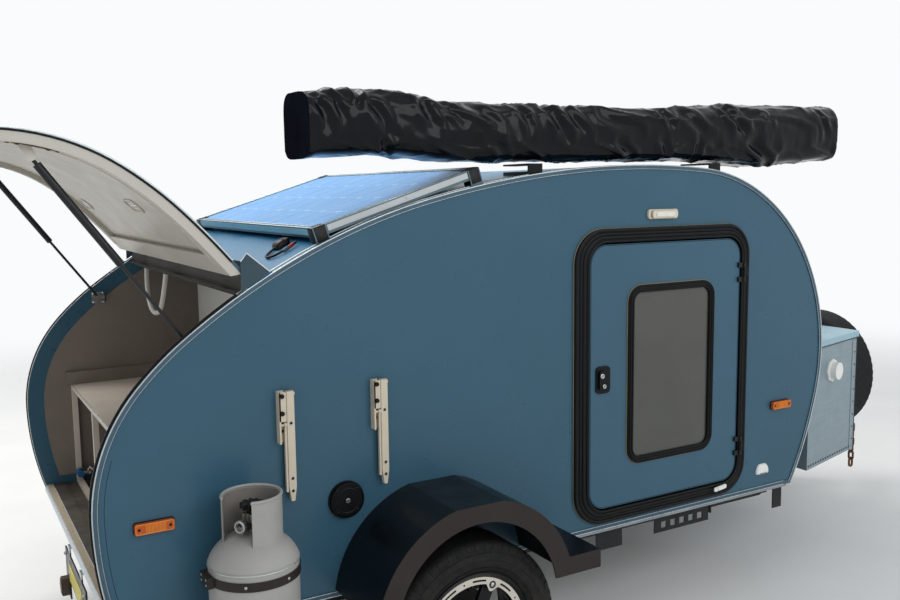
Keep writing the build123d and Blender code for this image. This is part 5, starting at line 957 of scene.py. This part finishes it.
def make_solar_dress():
    """Cells, their light grid, the frame's edge lines, side strips and black corner caps. The cells' light blue, the
    grid's blue-white and the rear strip's light blue are painted reflections of the sky.
    """
    cells, grid, line, rear_strip, caps, silver = forms(6)
    up = Vector((-sin(PANEL_TILT), 0, cos(PANEL_TILT)))
    back = Vector((-cos(PANEL_TILT), 0, -sin(PANEL_TILT)))
    length, w = PANEL_L, PANEL_W / 2
    count_x, count_y, margin = 4, 9, 36
    step_x, step_y = (length - margin) / count_x, (PANEL_W - margin) / count_y
    for i in range(count_x):
        for k in range(count_y):
            x0, y0 = margin / 2 + i * step_x, margin / 2 - w + k * step_y
            cell = rounded_rect(x0 + 2, x0 + step_x - 2, y0 + 2, y0 + step_y - 2, 11, 1)
            cells.slab([panel_point(x, y, -2.9) for x, y in cell], up, 0.0007)
            for b in (0.33, 0.67):
                y = y0 + step_y * b
                grid.slab(panel_rect(x0 + 3, x0 + step_x - 3, y - 0.9, y + 0.9, -2.2), up, 0.0003)
    grid.slab(panel_rect(16.4, length - 16.4, 16.4 - w, w - 16.4, -2.98), up, 0.0003)
    for inset, r in ((1.2, 0.0016), (15.6, 0.0012)):
        line.tube(panel_rect(inset, length - inset, inset - w, w - inset, 0.2), r, 6, closed=True)
    strip = [(0, 44 - w, -4), (0, w - 44, -4), (0, w - 44, -22), (0, 44 - w, -22)]
    rear_strip.slab([panel_point(*p) for p in strip], back, 0.0014, 0.0005)
    for side in SIDES:
        strip = [(44, side * w, -4), (length - 44, side * w, -4), (length - 44, side * w, -22), (44, side * w, -22)]
        silver.slab([panel_point(*p) for p in strip], (0, side, 0), 0.0014, 0.0005)
    for x0 in (-3.6, length - 41.6):
        for y0 in (-w - 3.6, w - 41.6):
            corner = rounded_rect(x0, x0 + 45.2, y0, y0 + 45.2, 7)
            caps.slab([panel_point(x, y, -45) for x, y in corner], up, 0.0464, 0.002)
            for ox, oy in ((0.3, 0.7), (0.7, 0.3)):
                caps.dome(panel_point(x0 + 45.2 * ox, y0 + 45.2 * oy, 1.4), up, 0.0040, 0.0018)
    piece("solar_cells", cells, "solar_cell")
    piece("solar_grid", grid, "cell_line")
    piece("panel_lines", line, "bright_edge", 70)
    piece("panel_sides", rear_strip, "panel_side")
    piece("panel_near_sides", silver, "panel_silver")
    piece("panel_corner_caps", caps, "black_plastic")


# Fittings on the walls

NEAR = (0, -1, 0)


def make_table_dress():
    """Black knobs at the pins, eyelets round the plates' holes and covers beside the arms."""
    knobs, rivets, cover = forms(3)
    for x in TABLE_XS:
        wall_slab(cover, rounded_rect(x - 33.6, x - 12.6, 563, 648.6, 3), -1, 804.2, 0.0018, 0.0004)
        for z in (640, 590):
            knobs.lathe([(0, 0), (0.0062, 0), (0.0068, 0.004), (0.0060, 0.008), (0, 0.009)],
                        at(x - 26, ARM_FACE, z - 2), NEAR, 16)
        for z in PLATE_HOLE_ZS:
            rivets.lathe([(0.0044, 0), (0.0062, 0), (0.0058, 0.0012), (0.0044, 0.0012)],
                         at(x - 20, PLATE_FACE, z), NEAR, 16)
    piece("table_knobs", knobs, "black_plastic")
    piece("table_rivets", rivets, "zinc_steel")
    piece("table_covers", cover, "cream_steel")


def make_table_holes():
    """Holes and eyelets that ride on the table's arms, and the plates' holes."""
    plain = Form()
    for number, x in enumerate(TABLE_XS, 1):
        dark, eyelet = forms(2)
        body = "table_arm_%d" % number
        for z in (557, 395, 358):
            dark.lathe([(0, 0), (0.0040, 0), (0.0040, 0.0005), (0, 0.0005)], at(x, ARM_FACE, z), NEAR, 16)
            eyelet.lathe([(0.0040, 0), (0.0056, 0), (0.0052, 0.0010), (0.0040, 0.0010)], at(x, ARM_FACE, z), NEAR, 16)
        piece("arm_holes_%d" % number, dark, "rubber_black", body=body)
        piece("arm_eyelets_%d" % number, eyelet, "zinc_steel", body=body)
        for z in PLATE_HOLE_ZS:
            plain.lathe([(0, 0), (0.0044, 0), (0.0044, 0.0006), (0, 0.0006)], at(x - 20, PLATE_FACE, z), NEAR, 16)
    piece("plate_holes", plain, "rubber_black")


def make_cap_dress():
    """The filler cap's raised ring, four screws and key cylinder."""
    ring, metal, slot = forms(3)
    centre = at(714, -796, 294)
    ring.lathe([(0.035, 0), (0.039, 0), (0.0386, 0.0012), (0.037, 0.0018), (0.0354, 0.0012)], centre, NEAR, 40)
    ring.lathe([(0.049, -0.001), (0.0535, -0.001), (0.053, 0.0012), (0.0495, 0.0016)], centre, NEAR, 48)
    metal.lathe([(0, 0), (0.0074, 0), (0.0074, 0.0026), (0.0066, 0.0034), (0, 0.0034)], centre, NEAR, 28)
    slot.box(centre + Vector((-0.0055, -0.0042, -0.0009)), centre + Vector((0.0055, -0.0034, 0.0009)))
    for i in range(4):
        a = radians(45 + 90 * i)
        ring.dome(centre + Vector((0.0455 * cos(a), 0, 0.0455 * sin(a))), NEAR, 0.0040, 0.0020, 14)
    piece("cap_rings", ring, "black_plastic")
    piece("cap_metal", metal, "bright_steel")
    piece("cap_key_slot", slot, "rubber_black")


def flat_ring(base, radius, height, angles):
    """Points at a height round an upright axis. radius may be a function of the angle."""
    return [base + Vector((r * cos(a), r * sin(a), height))
            for a in angles for r in [radius(a) if callable(radius) else radius]]


def make_bottle_dress():
    """The bottle's weld lines, the collar's inside in a darker painted shade, valve outlet nut and wheel, and the
    strap's bolts.
    """
    weld, inside, nut, bolts, wheel = forms(5)
    up = (0, 0, 1)
    base = at(BOTTLE_X, BOTTLE_Y, 0)
    round_angles = [tau * i / 120 for i in range(120)]
    for r, z, wire in ((0.1222, 0.232, 0.0014), (0.0845, 0.277, 0.0016)):
        weld.tube(flat_ring(base, r, z, round_angles), wire, 6, closed=True)
    # A darker sheet just inside the collar: painted shade in its hollow
    gap, middle = radians(38), radians(214)
    collar = [middle + gap + (tau - 2 * gap) * i / 60 for i in range(61)]
    rows = [flat_ring(base, 0.0762, z, collar) for z in (0.284, 0.405)]
    inner = [[v + (base + Vector((0, 0, v.z - base.z)) - v).normalized() * 0.0006 for v in row] for row in rows]
    inside.rings([[rows[0][i], rows[1][i], inner[1][i], inner[0][i]] for i in range(61)])
    out = Vector((-cos(radians(34)), -sin(radians(34)), 0))
    outlet = base + out * 0.044 + Vector((0, 0, 0.337))
    nut.lathe([(0, 0), (0.0165, 0), (0.0175, 0.002), (0.0175, 0.010), (0.0150, 0.012), (0.0120, 0.0115),
               (0.0105, 0.004), (0, 0.004)], outlet, out, 24)
    wheel.lathe([(0, 0), (0.0095, 0), (0, 0.002)], outlet + out * 0.0045, out, 20)
    lobes = [tau * i / 90 for i in range(90)]
    wheel.slab(flat_ring(base, lambda a: 0.027 + 0.005 * cos(9 * a), 0.374, lobes), up, 0.017, 0.003)
    wheel.lathe([(0, 0), (0.013, 0), (0.013, 0.014), (0, 0.014)], base + Vector((0, 0, 0.361)), up, 20)
    for dy in (-22, 22):
        for dz in (-7, 7):
            bolts.dome(at(245.6, BOTTLE_Y + dy, 203 + dz), (-1, 0, 0), 0.0042, 0.0028)
    for a in (-62, -118):
        d = Vector((cos(radians(a)), sin(radians(a)), 0))
        bolts.dome(base + d * 0.1236 + Vector((0, 0, 0.203)), d, 0.0045, 0.0030)
    piece("bottle_welds", weld, "bright_edge", 70)
    piece("collar_inside", inside, "collar_inside", 60)
    piece("valve_nut", nut, "zinc_steel")
    piece("strap_bolts", bolts, "zinc_steel")
    piece("valve_wheel", wheel, "black_plastic", 30)


def make_rear_dress():
    """Faces of the rear lamps, a blank yellow plate on their board and the sill's edge strip."""
    face, rim, plate, line, bolts, shelf = forms(6)
    back = Vector((-1, 0, 0))
    lamp_z = -186
    for y in (-191, 191):
        def hexagon(r):
            return [at(21, y + r * cos(radians(60 * i)), lamp_z + r * sin(radians(60 * i))) for i in range(6)]
        face.slab(hexagon(25), back, 0.0018, 0.0006)
        rim.tube([v + back * 0.0004 for v in hexagon(30)], 0.0022, closed=True)
        for i in range(-3, 4):
            z, half = lamp_z + i * 5.6, 20 - abs(i) * 2.6
            face.slab([at(19.3, y + dy, z + dz) for dy, dz in ((-half, -1), (half, -1), (half, 1), (-half, 1))],
                      back, 0.0010)
    plate.slab([at(44.9, y, z) for y, z in ((-140, -86), (140, -86), (140, -150), (-140, -150))], back, 0.0016, 0.0004)
    for y in (-120, 120):
        bolts.dome(at(43.2, y, -118), back, 0.0050, 0.0026)
        bolts.hex_head(at(45, y * 1.75, -72), back, 0.010, 0.006)
    for x, z, r in ((50, 25.4, 0.0018), (74, 29.4, 0.0014)):
        line.tube([at(x, y, z) for y in (-750, 0, 750)], r)
    shelf.slab([at(x, y, 29) for x, y in ((74, -750), (117.5, -750), (117.5, 750), (74, 750))], (0, 0, 1), 0.0012,
               0.0003)
    piece("sill_board", shelf, "floor_board")
    piece("rear_lamp_faces", face, "rear_lamp_face")
    piece("rear_lamp_rims", rim, "black_plastic", 60)
    piece("rear_blank_plate", plate, "plate_yellow")
    piece("sill_lines", line, "bright_edge", 70)
    piece("rear_bolts", bolts, "zinc_steel")


def make_wall_bits():
    """Door lamp housings, the white catch and the vent near the door's lower front corner, on both walls."""
    cream, catch, vent, dark = forms(4)
    ring = rounded_rect(1894, 2034, 1099, 1133, 11, 5)
    hole = rounded_rect(1903, 2027, 1102.5, 1129.5, 8, 5)
    handle = [(x, z + (x - 2264) * 0.12) for x, z in rounded_rect(2232, 2296, 50, 66, 6)]
    vent_x, vent_z = 2520, 82
    arch = [(vent_x + 34 * cos(radians(t)), min(76 + 34 * sin(radians(t)), 106)) for t in range(0, 181, 10)]
    arch += [(2486, 68), (2489, 65), (2551, 65), (2554, 68)]
    for side in SIDES:
        cream.rings([[at(a[0], side * 780, a[1]), at(a[0], side * 789, a[1]), at(b[0], side * 791, b[1]),
                      at(b[0], side * 780, b[1])] for a, b in zip(ring, hole)], closed=True)
        wall_slab(catch, handle, side, 802.2, 0.0055, 0.0015)
        catch.lathe([(0, 0), (0.0062, 0), (0.0058, 0.004), (0, 0.0050)], at(2252, side * 807.4, 57), (0, side, 0), 18)
        vent.rings([side_loop([(vent_x + (x - vent_x) * grow, vent_z + (z - vent_z) * grow) for x, z in arch], side, y)
                    for grow, y in ((1, WALL_FACE), (1, 784), (0.93, 788), (0.78, 790.4), (0.5, 791.6))])
        for i in range(3):
            wall_slab(dark, about(vent_x, 70 + i * 4.4, 20, 0.9, 0.8, 3), side, 789.4, 0.0016)
    piece("door_lamp_housings", cream, "cream_steel")
    piece("catches", catch, "white_plastic")
    piece("vents", vent, "white_plastic", 50)
    piece("vent_slots", dark, "rubber_black")


# Galley and storage box

def make_galley_dress():
    """A bright bead on the counter's edge, and the low tap with its lever."""
    bead, tap, lever = forms(3)
    bead.tube([at(165.4, y, 437) for y in (-746, 0, 746)], 0.0016)
    base = at(173, 712, 76)
    tap.lathe([(0, 0), (0.015, 0), (0.015, 0.006), (0.0105, 0.008), (0.0105, 0.034), (0.0135, 0.036),
               (0.0135, 0.046), (0, 0.047)], base, NEAR, 20)
    lever.tube([base + Vector(v) for v in ((0.010, -0.022, 0), (0.040, -0.024, -0.006))], 0.0075, 12)
    lever.tube([base + Vector(v) for v in ((0.030, -0.024, 0.006), (0.036, -0.024, 0.020), (0.062, -0.030, -0.010))],
               0.0042, 10, flat=0.6)
    piece("counter_beads", bead, "bright_edge", 70)
    piece("galley_tap", tap, "blue_tap")
    piece("galley_tap_lever", lever, "zinc_steel")


# The box's sides in plan: x and half width at the rear and at the front
BOX_SIDE = (2872, 719, 3334, 602)


def make_box_dress():
    """Rivets along the box's lower and front edges, and dark lines on its corners and under the lid."""
    rivets, edge = forms(2)
    for side in SIDES:
        x0, y0, x1, y1 = BOX_SIDE[0], side * BOX_SIDE[1], BOX_SIDE[2], side * BOX_SIDE[3]
        run = Vector((x1 - x0, y1 - y0, 0))
        out = Vector((run.y, -run.x, 0)).normalized() * -side
        for i in range(19):
            t = (i + 0.6) / 19.4
            rivets.dome(at(x0 + run.x * t, y0 + run.y * t, 16) + out * 0.0001, out, 0.0050, 0.0024, 10)
        edge.tube([at(x1 + 1.4, y1 + side * 1.4, z) for z in (2, 250, 508)], 0.0024)
        for i in range(8):
            rivets.dome(at(x1 - 17, 0, 50 + i * 58) + Vector((0, (y1 + 17 * side * 0.2532) / 1000, 0)) + out * 0.002,
                        out, 0.0042, 0.0022, 10)
        edge.tube([at(x, y, 523) for x, y in ((x0 + 2, y0 + side * 9.4), (x1 + 9, y1 + side * 7.2))], 0.0024)
    piece("box_rivets", rivets, "satin_black_metal", 60)
    piece("box_edges", edge, "satin_black_metal", 60)


# Cords

# The hose's route under the hatch hinge. Columns: x, y, z
HOSE_ROUTE = [(470, 640, 931), (462, 628, 850), (456, 560, 760), (452, 440, 735), (456, 330, 775), (470, 300, 931)]
# The solar cable's route over the roof. Columns: x, y, height above the cable's lowest place on the roof
SOLAR_ROUTE = [(636, -640, 6), (590, -650, 2), (556, -622, 0), (560, -570, 0), (600, -548, 0)]
CABLE_LIFT = 6


def make_cord(name, points, radius, look):
    """A free cord along the route's points, which are its spline's control points."""
    data = bpy.data.curves.new(name, "CURVE")
    data.dimensions = "3D"
    data.bevel_depth = radius
    data.bevel_resolution = 5
    data.resolution_u = 20
    data.use_fill_caps = True
    spline = data.splines.new("NURBS")
    spline.points.add(len(points) - 1)
    for q, p in zip(spline.points, points):
        q.co = (*p, 1)
    spline.order_u = 3
    spline.use_endpoint_u = True
    data.materials.append(M[look])
    obj = linked(name, data)
    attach(obj, "body")
    return obj


def make_cords():
    """The hose under the hinge, and the panel's cable with its plugs and entry housing."""
    hose = make_cord("hose_cord", [at(*p) for p in HOSE_ROUTE], 0.009, "hose_white")
    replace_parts(hose, "hose_loop")
    route = [at(x, y, roof_height(x) + CABLE_LIFT + lift) for x, y, lift in SOLAR_ROUTE]
    cable = make_cord("solar_cord", route, 0.004, "cable_black")
    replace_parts(cable, "solar_cable")
    house, red, grey = forms(3)
    base = roof_height(630)
    x0, y0 = SOLAR_ROUTE[-1][:2]
    house.rings([[at(x, y, base + z - (x0 + 30 - x) * 0.42)
                  for x, y in rounded_rect(x0 + inset, x0 + 44 - inset, y0 - 26 + inset, y0 + 26 - inset, 8)]
                 for inset, z in ((0, 1), (0, 15), (3, 20.5), (9, 23.4))])
    for dy in (-18, 18):
        house.dome(at(x0 + 22, y0 + dy, base + 17.5), (0, 0, 1), 0.0040, 0.0034)
    start = route[0]
    way = (route[1] - start).normalized()
    red.lathe([(0, 0), (0.0052, 0), (0.0056, 0.004), (0.0056, 0.016), (0.0050, 0.018), (0, 0.018)],
              start + way * 0.012, way, 16)
    grey.lathe([(0, 0), (0.0058, 0), (0.0062, 0.003), (0.0062, 0.018), (0.0054, 0.021), (0, 0.021)],
               start + way * 0.031, way, 8)
    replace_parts(piece("cable_entry", house, "black_plastic"), "solar_cable")
    piece("cable_plug_red", red, "red_plug")
    piece("cable_plug_grey", grey, "trim_line")


make_bag()
make_edges()
make_door_rings()
for side, word in WORDS:
    make_door_dress(side, word)
make_lamp_dress()
make_wheels()
make_hatch_dress()
make_hinge_dress()
make_solar_dress()
make_table_dress()
make_table_holes()
make_cap_dress()
make_bottle_dress()
make_rear_dress()
make_wall_bits()
make_galley_dress()
make_box_dress()
make_cords()


# Floor, lights and camera

def make_floor():
    """A pale floor that fades into the backdrop away from the trailer."""
    s = 40
    mesh = bpy.data.meshes.new("studio_floor")
    mesh.from_pydata([(-s, -s, GROUND_Z), (s, -s, GROUND_Z), (s, s, GROUND_Z), (-s, s, GROUND_Z)], [], [(0, 1, 2, 3)])
    obj = linked("studio_floor", mesh)
    sh = Shader("studio_floor")
    moved = sh.node("VectorMath", {0: sh.coords, 1: (2.2, 0, 0)}, operation="ADD")
    far = sh.node("VectorMath", {0: moved.outputs[0]}, operation="LENGTH")
    fade = sh.node("MapRange", {"From Min": 3.4, "From Max": 9, "Value": far.outputs["Value"]},
                   interpolation_type="SMOOTHERSTEP")
    sh.done(Base_Color=sh.ramp(sh.noise(2), [(0.3, (0.80, 0.80, 0.79, 1)), (0.7, (0.84, 0.84, 0.83, 1))]),
            Roughness=0.9, Specular_IOR_Level=0.1)
    mix = sh.node("MixShader", {0: fade.outputs[0], 1: sh.bsdf.outputs[0], 2: sh.node("BsdfTransparent").outputs[0]})
    sh.put(mix.outputs[0], sh.out.inputs["Surface"])
    mesh.materials.append(sh.mat)


def make_world():
    """Soft light on the object, and a pale backdrop for the camera and for gloss and glass."""
    world = bpy.data.worlds.new("studio")
    world.use_nodes = True
    bpy.context.scene.world = world
    tree = world.node_tree
    tree.nodes.clear()
    path, mix, either, any_of, out, *glows = (tree.nodes.new("ShaderNode" + kind) for kind in (
        "LightPath", "MixShader", "Math", "Math", "OutputWorld", "Background", "Background"))
    either.operation = any_of.operation = "MAXIMUM"
    links = [(path.outputs["Is Camera Ray"], either.inputs[0]), (path.outputs["Is Glossy Ray"], either.inputs[1]),
             (either.outputs[0], any_of.inputs[0]), (path.outputs["Is Transmission Ray"], any_of.inputs[1]),
             (any_of.outputs[0], mix.inputs[0]), (mix.outputs[0], out.inputs["Surface"])]
    for glow, place, colour, strength in zip(glows, (1, 2), ((0.93, 0.97, 1, 1), (0.955, 0.965, 0.975, 1)), (0.62, 1)):
        glow.inputs["Color"].default_value = colour
        glow.inputs["Strength"].default_value = strength
        links.append((glow.outputs[0], mix.inputs[place]))
    for a, b in links:
        tree.links.new(a, b)


def area_light(name, place, target, size, power, colour):
    """A rectangular lamp that faces a target."""
    data = bpy.data.lights.new(name, "AREA")
    data.shape = "RECTANGLE"
    data.size, data.size_y = size
    data.energy = power
    data.color = colour
    obj = linked(name, data)
    obj.location = place
    obj.rotation_euler = (Vector(target) - Vector(place)).to_track_quat("-Z", "Y").to_euler()


def make_camera():
    """The photograph's camera, solved from the trailer's outline, door, wheel and hatch."""
    yaw, pitch, roll = radians(30.228), radians(6.827), radians(0.716)
    forward = Vector((sin(yaw) * cos(pitch), cos(yaw) * cos(pitch), -sin(pitch)))
    right = Vector((cos(yaw), -sin(yaw), 0))
    down = forward.cross(right)
    image_right = right * cos(roll) + down * sin(roll)
    image_down = right * -sin(roll) + down * cos(roll)
    turn = Matrix((image_right, -image_down, -forward)).transposed().to_4x4()
    data = bpy.data.cameras.new("camera")
    data.lens = 36.56
    data.sensor_width = 36
    data.sensor_fit = "HORIZONTAL"
    data.clip_start = 0.05
    data.clip_end = 200
    obj = linked("camera", data)
    obj.matrix_world = Matrix.Translation((-4.4435, -3.230, 1.2179)) @ turn
    bpy.context.scene.camera = obj


make_floor()
make_world()
area_light("key", (-4.5, 2.8, 5.2), (-2.3, 0, 0.4), (4, 4), 260, (1, 0.975, 0.94))
area_light("fill", (-1.5, -6, 3.6), (-2.3, 0, 0.5), (6, 3), 150, (0.96, 0.98, 1))
make_camera()
bpy.context.scene.view_settings.view_transform = "Standard"

bpy.context.view_layer.update()
